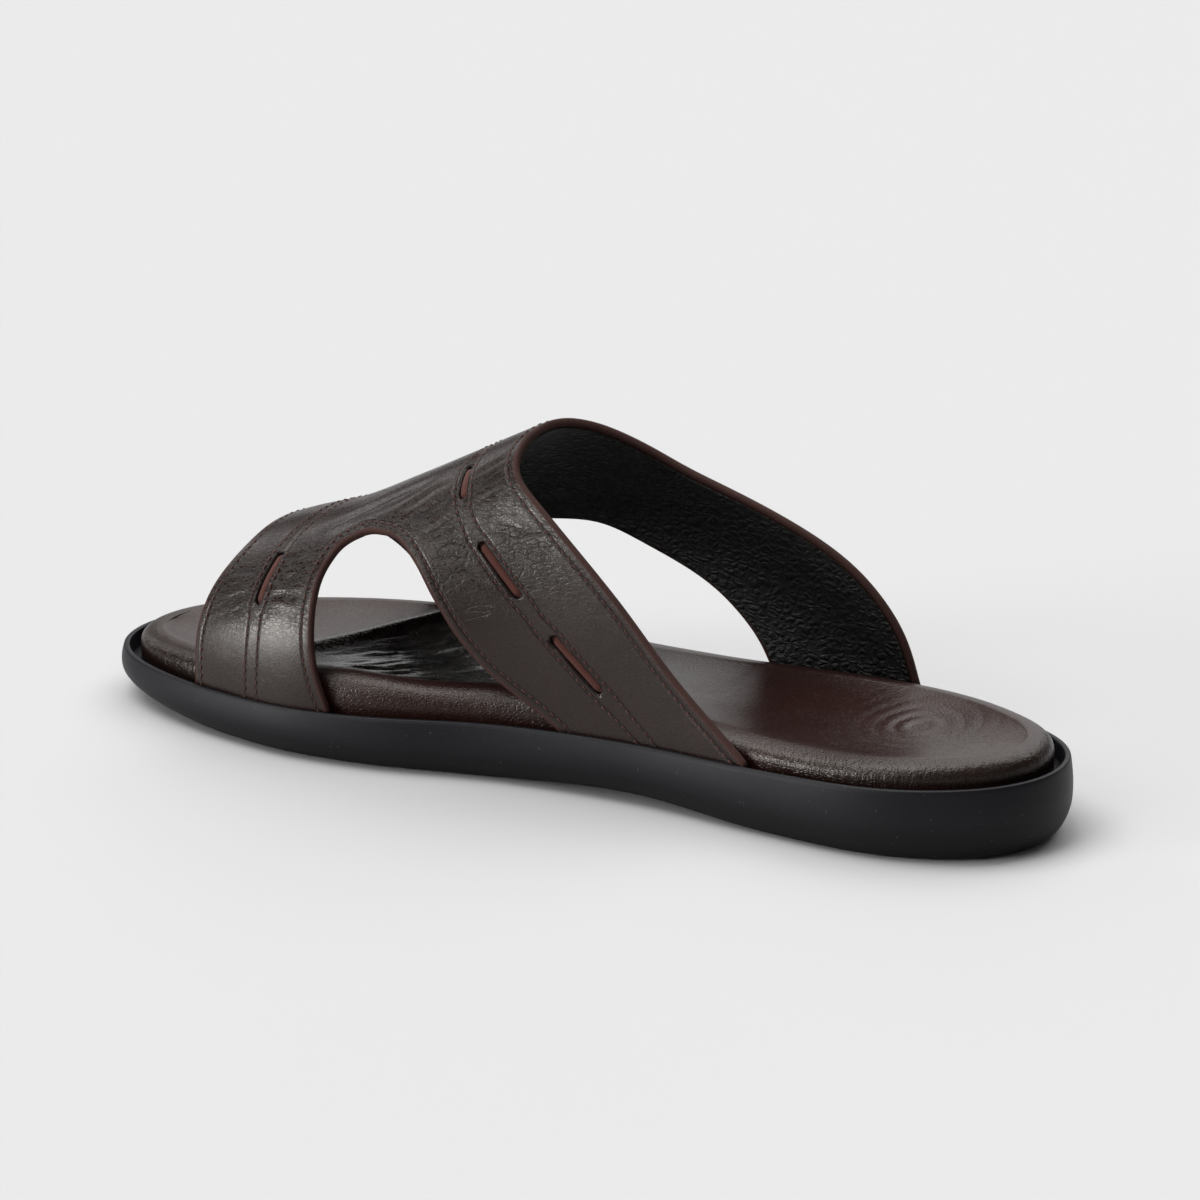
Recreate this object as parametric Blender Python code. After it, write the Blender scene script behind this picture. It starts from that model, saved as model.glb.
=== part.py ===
"""Slide sandal for the right foot: a rubber cup outsole, a leather footbed and a strap upper.

Metres, +Z up, +Y towards the toe, +X towards the outer side of the foot. It stands on z = 0.
"""

import math

import bmesh
import bpy
import numpy as np

# Driving sizes
SOLE_LENGTH = 0.290
BALL_WIDTH = 0.0988
INSTEP_HEIGHT = 0.097  # top of the instep strap at its rear edge
GAP = 0.0003  # between pieces that touch

# Outsole
RIM_HEIGHT = 0.0215  # top of the rim at the heel
RIM_WALL = 0.0016
RECESS_DEPTH = 0.005
BOTTOM_EDGE = 0.0042  # from the rim in to the flat bottom, at the heel
SIDE_BULGE = 0.0009
TOE_SPRING = 0.0048
ARCH_LIFT = 0.0022

# Footbed
FOOTBED_SLIP = 0.0005  # between the strap's inner face and the footbed's side
ROLL = 0.0072  # width of the rolled edge
ROLL_POWER = 0.8  # 1 is round, less is squarer
CROWN = 0.010  # height of the edge over the rim at the ball
CUP = 0.0042  # depth of the heel cup
TOE_RIDGE = 0.0034
RIDGE_ALONG = 0.7375  # share of the length where the ridge crosses the middle
RIDGE_SLANT = 0.0225  # share of the length from the middle to either edge
RIDGE_SPREAD = 0.024
DIP_POWER, RIDGE_POWER = 0.8, 0.4  # how soon the dip and the ridge fade near the edges, less is sooner

# Upper
STRAP_WALL = 0.0028
EDGE_BULGE = 0.0007
CREST_LEAN = 0.008  # how far the crest of the last lies towards the inner side
INNER_SIDE_POWER, OUTER_SIDE_POWER = 0.95, 1.10  # 1 is an ellipse, less is squarer
INNER_TOP_POWER, OUTER_TOP_POWER = 0.95, 1.15

# Slots and the strips in them
SLOT_WIDTH = 0.0028
SLOT_DEPTH = 0.0013
STRIP_SINK = 0.0004  # how far a strip lies below the leather

# Mesh density
POINTS_ROUND = 104  # points round the sole
ROLL_STEPS = 5
FOOTBED_COLUMNS = 12
BRIDGE_COLUMNS = 18
SIDE_COLUMNS = 13
REAR_ROWS = 6
FRONT_ROWS = 5
SLOT_STEPS = 7
CAP_STEPS = 3
ROUTE_POINTS = 60  # samples of a slot's line, only to measure along it
TUCK_PLACES = (1.5, 2.0)  # where the strap has columns below the rim; 2 is its end
SHARP_ANGLE = math.radians(38)
SMALL = 1e-3  # step of numeric slopes


def table(columns, *rows):
    return dict(zip(columns.split(), np.array(rows, float).T))


# half and centre are shares of BALL_WIDTH; half is multiplied by the round end of an ellipse
OUTLINE = table(
    "along half centre",
    (0.00, 0.640, -0.045),
    (0.05, 0.590, -0.040),
    (0.12, 0.550, -0.022),
    (0.25, 0.452, 0.017),
    (0.40, 0.385, 0.046),
    (0.55, 0.425, 0.062),
    (0.66, 0.517, 0.058),
    (0.74, 0.570, 0.052),
    (0.83, 0.603, 0.044),
    (0.92, 0.635, 0.022),
    (1.00, 0.690, -0.020),
)

# share of RIM_HEIGHT
RIM = table(
    "along height",
    (0.00, 1.000),
    (0.12, 0.920),
    (0.25, 0.850),
    (0.50, 0.790),
    (0.75, 0.665),
    (0.88, 0.645),
    (1.00, 0.680),
)

# arch is a share of ARCH_LIFT, toe of TOE_SPRING, edge of BOTTOM_EDGE
BOTTOM = table(
    "along arch toe edge",
    (0.00, 0.35, 0.00, 1.30),
    (0.06, 0.00, 0.00, 1.10),
    (0.24, 0.00, 0.00, 1.00),
    (0.40, 1.00, 0.00, 1.00),
    (0.57, 0.00, 0.00, 1.15),
    (0.79, 0.00, 0.00, 1.40),
    (0.90, 0.00, 0.30, 1.70),
    (1.00, 0.00, 1.00, 2.10),
)

# up is a share of the side's height, inset a share of BOTTOM_EDGE, and bulge a share of SIDE_BULGE
SIDE = table(
    "up inset bulge",
    (0.00, 1.00, 0.00),
    (0.035, 0.62, 0.00),
    (0.11, 0.32, 0.10),
    (0.24, 0.10, 0.40),
    (0.42, 0.00, 0.85),
    (0.60, 0.00, 1.00),
    (0.82, 0.00, 0.62),
    (1.00, 0.00, 0.00),
)

# inner and outer are the height of the footbed's edge over the rim, shares of CROWN; out is how far its
# side comes out where no strap passes, a share of STRAP_WALL
EDGE = table(
    "along inner outer out",
    (0.00, 0.60, 0.60, 0.34),
    (0.12, 0.52, 0.62, 0.18),
    (0.20, 0.45, 0.66, 0.00),
    (0.32, 0.66, 0.60, 0.00),
    (0.42, 0.92, 0.50, 0.00),
    (0.50, 0.90, 0.44, 0.00),
    (0.60, 0.74, 0.44, 0.00),
    (0.65, 0.88, 0.46, 0.00),
    (0.71, 1.04, 0.48, 0.00),
    (0.80, 0.82, 0.46, 0.00),
    (0.88, 0.60, 0.44, 0.00),
    (1.00, 0.44, 0.44, 0.20),
)

# how far the footbed dips between its edges, shares of CUP
DIP = table(
    "along depth",
    (0.03, 0.00),
    (0.10, 0.70),
    (0.18, 1.00),
    (0.30, 0.75),
    (0.42, 0.60),
    (0.56, 0.75),
    (0.66, 1.05),
    (0.74, 0.80),
    (0.82, 0.50),
    (0.92, 0.25),
    (0.98, 0.00),
)

# crest of the upper, share of INSTEP_HEIGHT
CREST = table(
    "along height",
    (0.20, 1.220),
    (0.35, 1.160),
    (0.45, 1.068),
    (0.53, 0.975),
    (0.60, 0.868),
    (0.67, 0.762),
    (0.73, 0.672),
    (0.80, 0.603),
    (0.86, 0.525),
    (0.95, 0.350),
    (1.00, 0.250),
)

# around runs from -1 at the inner base, over the crest, to 1 at the outer base
REAR_EDGE = table(
    "around along",
    (-1.00, 0.272),
    (-0.91, 0.335),
    (-0.74, 0.412),
    (-0.53, 0.488),
    (-0.36, 0.531),
    (-0.15, 0.543),
    (0.05, 0.531),
    (0.22, 0.509),
    (0.40, 0.465),
    (0.50, 0.427),
    (0.60, 0.360),
    (0.71, 0.280),
    (0.82, 0.233),
    (1.00, 0.203),
)
FRONT_EDGE = table(
    "around along",
    (-1.00, 0.857),
    (-0.80, 0.858),
    (-0.57, 0.851),
    (-0.24, 0.828),
    (0.04, 0.822),
    (0.30, 0.806),
    (0.60, 0.779),
    (0.80, 0.766),
    (1.00, 0.750),
)

# down is 0 at the top of a side cut-out and 1 at its base; it grows with the root of the depth
INNER_CUT = table(
    "down rear front",
    (0.00, 0.690, 0.690),
    (0.20, 0.670, 0.710),
    (0.36, 0.646, 0.718),
    (0.57, 0.617, 0.724),
    (0.75, 0.588, 0.722),
    (0.85, 0.563, 0.718),
    (0.93, 0.527, 0.711),
    (1.00, 0.465, 0.700),
)
OUTER_CUT = table(
    "down rear front",
    (0.00, 0.636, 0.636),
    (0.19, 0.600, 0.656),
    (0.30, 0.561, 0.664),
    (0.55, 0.491, 0.664),
    (0.75, 0.413, 0.652),
    (0.88, 0.376, 0.637),
    (1.00, 0.356, 0.618),
)
INNER_CUT_TOP = 0.350
OUTER_CUT_TOP = 0.555

# lines along the middle of each strap
INSTEP_LINE = table(
    "around along",
    (-1.00, 0.375),
    (-0.92, 0.424),
    (-0.81, 0.477),
    (-0.63, 0.537),
    (-0.46, 0.574),
    (-0.27, 0.591),
    (0.00, 0.593),
    (0.22, 0.580),
    (0.40, 0.548),
    (0.60, 0.468),
    (0.70, 0.397),
    (0.82, 0.328),
    (1.00, 0.283),
)
FRONT_LINE = table(
    "around along",
    (-1.00, 0.785),
    (-0.63, 0.786),
    (-0.37, 0.777),
    (0.00, 0.760),
    (0.35, 0.738),
    (0.70, 0.715),
    (1.00, 0.686),
)

# name, line, first and last place along it
SLOTS = (
    ("front_inner", FRONT_LINE, -0.630, -0.365),
    ("front_outer", FRONT_LINE, 0.340, 0.590),
    ("instep_inner_1", INSTEP_LINE, -0.920, -0.810),
    ("instep_inner_2", INSTEP_LINE, -0.720, -0.550),
    ("instep_inner_3", INSTEP_LINE, -0.370, -0.175),
    ("instep_outer_3", INSTEP_LINE, 0.190, 0.340),
    ("instep_outer_2", INSTEP_LINE, 0.480, 0.620),
    ("instep_outer_1", INSTEP_LINE, 0.730, 0.850),
)


def read(rows, column, at, over="along"):
    """A column's smooth value at the given places, level where the rows are level."""
    x, y = rows[over], rows[column]
    run = np.diff(x)
    slope = np.diff(y) / run
    inner = (slope[:-1] * run[1:] + slope[1:] * run[:-1]) / (x[2:] - x[:-2])
    tangent = np.concatenate([slope[:1], np.where(slope[:-1] * slope[1:] > 0, inner, 0.0), slope[-1:]])
    at = np.clip(np.asarray(at, float), x[0], x[-1])
    k = np.clip(np.searchsorted(x, at) - 1, 0, len(run) - 1)
    t = (at - x[k]) / run[k]
    rise = (3 - 2 * t) * t * t
    return (
        y[k] * (1 - rise)
        + y[k + 1] * rise
        + run[k] * t * (1 - t) * (tangent[k] * (1 - t) - tangent[k + 1] * t)
    )


def unit(vectors):
    return vectors / np.linalg.norm(vectors, axis=-1, keepdims=True)


def share(y):
    return np.clip(y / SOLE_LENGTH + 0.5, 0.0, 1.0)


def free_outline(turn):
    along = 0.5 - 0.5 * np.cos(turn)
    x = BALL_WIDTH * (read(OUTLINE, "centre", along) + read(OUTLINE, "half", along) * np.sin(turn))
    return np.stack([x, SOLE_LENGTH * (along - 0.5)], -1)


def inset_outline(turn, inset):
    run = free_outline(turn + SMALL) - free_outline(turn - SMALL)
    outwards = unit(np.stack([run[..., 1], -run[..., 0]], -1))
    return free_outline(turn) - np.asarray(inset)[..., None] * outwards


ROUND = np.linspace(0.0, 2 * math.pi, 1441)
WIDEST = inset_outline(ROUND, -SIDE_BULGE)[:, 0]
MIDDLE = (WIDEST.max() + WIDEST.min()) / 2


def outline(turn, inset=0.0):
    """Points of the sole's outline, moved in by inset.

    turn is 0 at the heel and pi at the toe, positive on the outer side and negative on the inner side.
    """
    return inset_outline(turn, inset) - [MIDDLE, 0.0]


def side_x(y, inset, side):
    """x of the inset outline at y, on the outer side (1) or the inner side (-1)."""
    line = outline(side * ROUND[: len(ROUND) // 2 + 1], inset)
    return np.interp(y, line[:, 1], line[:, 0])


def rim_z(y):
    return RIM_HEIGHT * read(RIM, "height", share(y))


def bottom_z(y):
    return ARCH_LIFT * read(BOTTOM, "arch", share(y)) + TOE_SPRING * read(BOTTOM, "toe", share(y))


def floor_z(y):
    return rim_z(y) - RECESS_DEPTH


# The last


def last(along, around):
    """Outer face of the upper. From -1 to -2 and from 1 to 2 it goes straight down beside the footbed."""
    along, around = np.broadcast_arrays(np.asarray(along, float), np.asarray(around, float))
    y = SOLE_LENGTH * (along - 0.5)
    inner, outer = (side_x(y, RIM_WALL + GAP, side) for side in (-1, 1))
    angle = np.clip(around, -1, 1) * math.pi / 2
    top = np.maximum(np.cos(angle), 0.0)
    side_power = np.where(around > 0, OUTER_SIDE_POWER, INNER_SIDE_POWER)
    top_power = np.where(around > 0, OUTER_TOP_POWER, INNER_TOP_POWER)
    spread = np.sign(around) * np.abs(np.sin(angle)) ** side_power
    x = (inner + outer) / 2 + (outer - inner) / 2 * spread - CREST_LEAN * top**2
    rise = INSTEP_HEIGHT * read(CREST, "height", along) - rim_z(y)
    tuck = np.maximum(np.abs(around) - 1, 0.0) * (RECESS_DEPTH - GAP)
    return np.stack([x, y, rim_z(y) + rise * top**top_power - tuck], -1)


def last_normal(along, around):
    along, around = np.broadcast_arrays(np.asarray(along, float), np.asarray(around, float))
    low, high = around - SMALL, around + SMALL
    inside = np.abs(around) < 1
    low = np.where(inside, np.maximum(low, -1), np.where(around >= 1, around, low))
    high = np.where(inside, np.minimum(high, 1), np.where(around <= -1, around, high))
    sideways = last(along, high) - last(along, low)
    forward = last(along + SMALL, around) - last(along - SMALL, around)
    return unit(np.cross(sideways, forward))


# Meshes


def new_object(name, mesh, material=None):
    mesh.normal_update()
    data = bpy.data.meshes.new(name)
    mesh.to_mesh(data)
    mesh.free()
    obj = bpy.data.objects.new(name, data)
    bpy.context.scene.collection.objects.link(obj)
    if material:
        data.materials.append(material)
        data.shade_smooth()
        data.set_sharp_from_angle(angle=SHARP_ANGLE)
    return obj


def finish(name, colour, roughness):
    material = bpy.data.materials.new(name)
    material.use_nodes = True
    shader = material.node_tree.nodes["Principled BSDF"]
    shader.inputs["Base Color"].default_value = (*colour, 1.0)
    shader.inputs["Roughness"].default_value = roughness
    shader.inputs["Metallic"].default_value = 0.0
    return material


def bridge(mesh, lower, upper):
    count = len(lower)
    for i in range(count):
        j = (i + 1) % count
        mesh.faces.new((lower[i], lower[j], upper[j], upper[i]))


def close_across(mesh, ring, upwards, columns=None):
    """Closes a ring with strips from its outer side to its inner side; columns are the points between."""
    half = len(ring) // 2
    rows = [[ring[0]]]
    for i in range(1, half):
        between = columns[i - 1] if columns else []
        rows.append([ring[i], *between, ring[-i]])
    rows.append([ring[half]])
    for near, far in zip(rows, rows[1:]):
        if len(near) == 1 or len(far) == 1:
            tip, line = (near[0], far) if len(near) == 1 else (far[0], near)
            faces = [(tip, a, b) if len(near) == 1 else (tip, b, a) for a, b in zip(line, line[1:])]
        else:
            faces = [(near[k], far[k], far[k + 1], near[k + 1]) for k in range(len(near) - 1)]
        for face in faces:
            mesh.faces.new(face if upwards else face[::-1])


TURNS = np.arange(POINTS_ROUND) * 2 * math.pi / POINTS_ROUND


def ring(mesh, inset, height):
    """A ring of vertices at one inset. height is a function of the points' y."""
    points = outline(TURNS, inset)
    return [mesh.verts.new((x, y, z)) for (x, y), z in zip(points, height(points[:, 1]))]


def make_outsole(material):
    mesh = bmesh.new()
    rings = []
    edge = BOTTOM_EDGE * read(BOTTOM, "edge", 0.5 - 0.5 * np.cos(TURNS))
    for up, inset, bulge in zip(SIDE["up"], SIDE["inset"], SIDE["bulge"]):
        rings.append(
            ring(
                mesh,
                inset * edge - bulge * SIDE_BULGE,
                lambda y, up=up: bottom_z(y) + up * (rim_z(y) - bottom_z(y)),
            )
        )
    rings.append(ring(mesh, RIM_WALL, rim_z))
    rings.append(ring(mesh, RIM_WALL, floor_z))
    for lower, upper in zip(rings, rings[1:]):
        bridge(mesh, lower, upper)
    close_across(mesh, rings[0], upwards=False)
    close_across(mesh, rings[-1], upwards=True)
    return new_object("outsole", mesh, material)


FOOTBED_INSET = RIM_WALL + GAP + STRAP_WALL + FOOTBED_SLIP


def edge_rise(y, turn_side):
    """Height of the footbed's edge over the rim, on the inner side (-1), the outer side (1) or between."""
    along = share(y)
    inner, outer = read(EDGE, "inner", along), read(EDGE, "outer", along)
    return CROWN * (inner + (outer - inner) * (1 + turn_side) / 2)


def footbed_top(y, place, lean):
    """Top of the footbed from its inner edge (place -1) to its outer edge (1); lean mixes their heights."""
    along = share(y)
    open_share = 1 - place**2
    dip = CUP * read(DIP, "depth", along) * open_share**DIP_POWER
    middle = RIDGE_ALONG - RIDGE_SLANT * place
    ridge = TOE_RIDGE * np.exp(-(((along - middle) / RIDGE_SPREAD) ** 2)) * open_share**RIDGE_POWER
    return rim_z(y) + edge_rise(y, lean) - dip + ridge


def make_footbed(material):
    mesh = bmesh.new()
    side = FOOTBED_INSET - STRAP_WALL * read(EDGE, "out", 0.5 - 0.5 * np.cos(TURNS))
    rings = [ring(mesh, side, lambda y: floor_z(y) + GAP)]
    for k in range(ROLL_STEPS + 1):
        angle = k / ROLL_STEPS * math.pi / 2
        rings.append(
            ring(
                mesh,
                side + ROLL * (1 - max(math.cos(angle), 0.0) ** ROLL_POWER),
                lambda y, up=math.sin(angle) ** ROLL_POWER: rim_z(y) + edge_rise(y, np.sin(TURNS)) * up,
            )
        )
    for lower, upper in zip(rings, rings[1:]):
        bridge(mesh, lower, upper)
    close_across(mesh, rings[0], upwards=False)
    top = rings[-1]
    columns = []
    for i in range(1, POINTS_ROUND // 2):
        outer, inner = np.array(top[i].co), np.array(top[-i].co)
        row = []
        for k in range(1, FOOTBED_COLUMNS):
            place = 1 - 2 * k / FOOTBED_COLUMNS
            x, y = (outer * (1 + place) / 2 + inner * (1 - place) / 2)[:2]
            row.append(mesh.verts.new((x, y, footbed_top(y, place, place * math.sin(TURNS[i])))))
        columns.append(row)
    close_across(mesh, top, upwards=True, columns=columns)
    return new_object("footbed", mesh, material)


# Upper


def cut_columns(top, side):
    """Places around the last from a cut-out's top to the end of the tuck, each with its depth."""
    down = np.sin(np.linspace(0, math.pi / 2, SIDE_COLUMNS + 1))
    columns = [(side * (top + (1 - top) * d * d), d) for d in down]
    return columns + [(side * past, 1.0) for past in TUCK_PLACES]


def cut_edges(rows, depth):
    return read(rows, "rear", depth, "down"), read(rows, "front", depth, "down")


def upper_columns():
    """For each place around the last, the shares along it of the wall's rear part and front part."""
    inner, outer = cut_columns(INNER_CUT_TOP, -1), cut_columns(OUTER_CUT_TOP, 1)
    inner_top, outer_top = INNER_CUT["rear"][0], OUTER_CUT["rear"][0]
    sections = [(a, *cut_edges(INNER_CUT, d)) for a, d in inner[::-1]]
    for t in np.linspace(0, 1, BRIDGE_COLUMNS + 1)[1:-1]:
        middle = inner_top + (outer_top - inner_top) * t
        sections.append((-INNER_CUT_TOP + (INNER_CUT_TOP + OUTER_CUT_TOP) * t, middle, middle))
    sections += [(a, *cut_edges(OUTER_CUT, d)) for a, d in outer]
    columns = []
    for place, rear_end, front_start in sections:
        rear = np.linspace(read(REAR_EDGE, "along", place, "around"), rear_end, REAR_ROWS + 1)
        front = np.linspace(front_start, read(FRONT_EDGE, "along", place, "around"), FRONT_ROWS + 1)
        columns.append((place, rear, front))
    return columns


def make_upper(material):
    """A grid on the outer face, the same grid moved in along the normals, and a rounded edge between."""
    mesh = bmesh.new()
    faces = []
    points = []
    last_rows = None
    for place, rear, front in upper_columns():
        rows = []
        for part in (rear, front):
            if rows and rear[-1] == front[0]:
                rows.append([rows[0][-1], *range(len(points), len(points) + len(part) - 1)])
                part = part[1:]
            else:
                rows.append(list(range(len(points), len(points) + len(part))))
            points += [(along, place) for along in part]
        if last_rows:
            for before, after in zip(last_rows, rows):
                for k in range(len(after) - 1):
                    faces.append((before[k], after[k], after[k + 1], before[k + 1]))
        last_rows = rows
    along, around = np.array(points).T
    outer = last(along, around)
    normal = last_normal(along, around)
    inner = outer - STRAP_WALL * normal
    edges = {(face[k - 1], face[k]) for face in faces for k in range(4)}
    following = {a: b for a, b in edges if (b, a) not in edges}
    before = {b: a for a, b in following.items()}
    outer_verts = [mesh.verts.new(p) for p in outer]
    inner_verts = [mesh.verts.new(p) for p in inner]
    edge_verts = {}
    for i in following:
        sideways = unit(np.cross(outer[following[i]] - outer[before[i]], normal[i]))
        bulge = EDGE_BULGE if abs(around[i]) < 2 else 0.0
        edge_verts[i] = mesh.verts.new((outer[i] + inner[i]) / 2 + bulge * sideways)
    for face in faces:
        mesh.faces.new([outer_verts[i] for i in face])
        mesh.faces.new([inner_verts[i] for i in face[::-1]])
    for a, b in following.items():
        mesh.faces.new((outer_verts[b], outer_verts[a], edge_verts[a], edge_verts[b]))
        mesh.faces.new((edge_verts[b], edge_verts[a], inner_verts[a], inner_verts[b]))
    return new_object("upper", mesh, material)


# Slots and strips


def round_ended_bar(name, line, span, width, low, high, trim=0.0, material=None):
    """A bar with round ends that follows a line on the last, between two heights over its outer face."""
    places = np.linspace(*span, ROUTE_POINTS)
    route = last(read(line, "along", places, "around"), places)
    run = np.concatenate([[0.0], np.cumsum(np.linalg.norm(np.diff(route, axis=0), axis=1))])
    half = width / 2 - trim
    start, end = run[0] + trim, run[-1] - trim
    turn = np.linspace(0, math.pi / 2, CAP_STEPS + 1)
    distances = np.concatenate(
        [
            start + half * (1 - np.cos(turn)),
            np.linspace(start + half, end - half, SLOT_STEPS + 1)[1:-1],
            end - half * (1 - np.sin(turn)),
        ]
    )
    halves = half * np.concatenate([np.sin(turn), np.ones(SLOT_STEPS - 1), np.cos(turn)])
    around = np.interp(distances, run, places)
    along = read(line, "along", around, "around")
    centre = last(along, around)
    normal = last_normal(along, around)
    sideways = unit(np.cross(normal, np.gradient(centre, axis=0)))
    offsets = [(k, 1) for k in range(len(halves))] + [(k, -1) for k in range(len(halves) - 2, 0, -1)]
    mesh = bmesh.new()
    loops = []
    for height in (low, high):
        loops.append(
            [
                mesh.verts.new(centre[k] + side * halves[k] * sideways[k] + height * normal[k])
                for k, side in offsets
            ]
        )
    bridge(mesh, *loops)
    for loop, upwards in zip(loops, (False, True)):
        close_across(mesh, loop, upwards)
    bmesh.ops.recalc_face_normals(mesh, faces=mesh.faces)
    return new_object(name, mesh, material)


def cut_slots_and_lay_strips(upper, material):
    for name, line, *span in SLOTS:
        cutter = round_ended_bar("cutter_" + name, line, span, SLOT_WIDTH, -SLOT_DEPTH, STRAP_WALL)
        cutter.hide_render = True
        cutter.display_type = "WIRE"
        cut = upper.modifiers.new("slot_" + name, "BOOLEAN")
        cut.operation = "DIFFERENCE"
        cut.solver = "EXACT"
        cut.object = cutter
        low, high = GAP - SLOT_DEPTH, -STRIP_SINK
        round_ended_bar("inlay_" + name, line, span, SLOT_WIDTH, low, high, GAP, material)


for old in list(bpy.data.objects):
    bpy.data.objects.remove(old)

make_outsole(finish("black rubber", (0.019, 0.020, 0.024), 0.45))
make_footbed(finish("dark brown footbed leather", (0.034, 0.019, 0.016), 0.38))
upper = make_upper(finish("dark brown strap leather", (0.061, 0.045, 0.041), 0.48))
cut_slots_and_lay_strips(upper, finish("rust suede", (0.162, 0.048, 0.032), 0.85))
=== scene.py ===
import math

import bmesh
import bpy
import numpy as np
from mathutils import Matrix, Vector, noise


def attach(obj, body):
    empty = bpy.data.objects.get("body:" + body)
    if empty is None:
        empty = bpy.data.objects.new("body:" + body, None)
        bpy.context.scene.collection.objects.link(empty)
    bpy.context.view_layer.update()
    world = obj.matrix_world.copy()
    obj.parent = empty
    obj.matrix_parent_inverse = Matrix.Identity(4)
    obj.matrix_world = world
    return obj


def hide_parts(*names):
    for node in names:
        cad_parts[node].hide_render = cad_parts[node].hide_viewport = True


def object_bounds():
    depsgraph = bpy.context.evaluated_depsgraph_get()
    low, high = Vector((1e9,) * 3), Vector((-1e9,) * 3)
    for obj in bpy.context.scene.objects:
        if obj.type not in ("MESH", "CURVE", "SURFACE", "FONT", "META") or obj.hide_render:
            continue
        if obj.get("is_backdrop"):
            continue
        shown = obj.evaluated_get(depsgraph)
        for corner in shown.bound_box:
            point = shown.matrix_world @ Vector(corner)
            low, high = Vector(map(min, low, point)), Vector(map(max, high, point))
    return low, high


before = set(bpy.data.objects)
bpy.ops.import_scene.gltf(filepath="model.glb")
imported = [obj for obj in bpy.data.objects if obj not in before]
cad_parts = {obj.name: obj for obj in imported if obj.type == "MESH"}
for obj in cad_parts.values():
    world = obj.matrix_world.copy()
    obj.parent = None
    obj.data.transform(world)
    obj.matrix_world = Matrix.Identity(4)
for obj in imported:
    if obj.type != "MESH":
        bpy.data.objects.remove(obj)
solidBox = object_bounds()
print("frame loaded:", len(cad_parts), "solids")

# sizes that the pieces share, in metres
shoe = {
    "length": 0.290,
    "ballWidth": 0.0988,
    "instepHeight": 0.097,
    "rimHeight": 0.0215,
    "rimWall": 0.0016,
    "recessDepth": 0.005,
    "gap": 0.0003,  # between neighbours
    "wall": 0.0028,  # the straps' leather and lining
    "shift": 0.005296,  # puts the outline in the middle of its box
}


def hermite(x, y, at):  # smooth between the rows, level where they are level
    run = np.diff(x)
    slope = np.diff(y) / run
    between = (slope[:-1] * run[1:] + slope[1:] * run[:-1]) / (x[2:] - x[:-2])
    inner = np.where(slope[:-1] * slope[1:] > 0, between, 0.0)
    tangent = np.concatenate([slope[:1], inner, slope[-1:]])
    k = np.clip(np.searchsorted(x, at) - 1, 0, len(run) - 1)
    t = (at - x[k]) / run[k]
    rise = (3 - 2 * t) * t * t
    bend = run[k] * t * (1 - t) * (tangent[k] * (1 - t) - tangent[k + 1] * t)
    return y[k] * (1 - rise) + y[k + 1] * rise + bend


def easedTable(columns, blur, *rows):
    # dense columns, blurred a little so that gloss shows no bands
    names = columns.split()
    data = np.array(rows, float).T
    dense = np.linspace(data[0][0], data[0][-1], 2401)
    spread = blur / (dense[1] - dense[0])
    reach = int(3 * spread) + 1
    kernel = np.exp(-0.5 * (np.arange(-reach, reach + 1) / spread) ** 2)
    eased = {"places": dense}
    for name, values in zip(names[1:], data[1:]):
        padded = np.pad(hermite(data[0], values, dense), reach, mode="reflect", reflect_type="odd")
        eased[name] = np.convolve(padded, kernel / kernel.sum(), mode="valid")
    return eased


def read(rows, column, at):
    return np.interp(at, rows["places"], rows[column])


def unit(vectors):
    return vectors / np.maximum(np.linalg.norm(vectors, axis=-1, keepdims=True), 1e-12)


def smoothStep(low, high, values):
    t = np.clip((np.asarray(values, float) - low) / (high - low), 0.0, 1.0)
    return t * t * (3 - 2 * t)


def bell(values, width):
    return np.exp(-((values / width) ** 2))


# half and centre are shares of ballWidth
outlineRows = easedTable(
    "along half centre",
    0.012,
    (0.00, 0.640, -0.045), (0.05, 0.590, -0.040), (0.12, 0.550, -0.022), (0.25, 0.452, 0.017),
    (0.40, 0.385, 0.046), (0.55, 0.425, 0.062), (0.66, 0.517, 0.058), (0.74, 0.570, 0.052),
    (0.83, 0.603, 0.044), (0.92, 0.635, 0.022), (1.00, 0.690, -0.020),
)
rimRows = easedTable(
    "along height",
    0.02,
    (0.00, 1.000), (0.12, 0.920), (0.25, 0.850), (0.50, 0.790), (0.75, 0.665), (0.88, 0.645),
    (1.00, 0.680),
)


def share(y):  # 0 at the heel, 1 at the toe
    return np.clip(y / shoe["length"] + 0.5, 0.0, 1.0)


def shareAt(turn):
    return 0.5 - 0.5 * np.cos(turn)


def freeOutline(turn):
    along = shareAt(turn)
    x = read(outlineRows, "centre", along) + read(outlineRows, "half", along) * np.sin(turn)
    return np.stack([shoe["ballWidth"] * x, shoe["length"] * (along - 0.5)], -1)


def outline(turn, inset):
    # turn is 0 at the heel, pi at the toe, positive on the outer side
    run = freeOutline(turn + 1e-3) - freeOutline(turn - 1e-3)
    outwards = unit(np.stack([run[..., 1], -run[..., 0]], -1))
    return freeOutline(turn) - np.asarray(inset)[..., None] * outwards - [shoe["shift"], 0.0]


halfTurn = np.linspace(0.0, math.pi, 1201)


def sideX(y, inset, side):
    line = outline(side * halfTurn, inset)
    return np.interp(y, line[:, 1], line[:, 0])


def rimZ(y):
    return shoe["rimHeight"] * read(rimRows, "height", share(y))


def floorZ(y):
    return rimZ(y) - shoe["recessDepth"]


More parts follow.
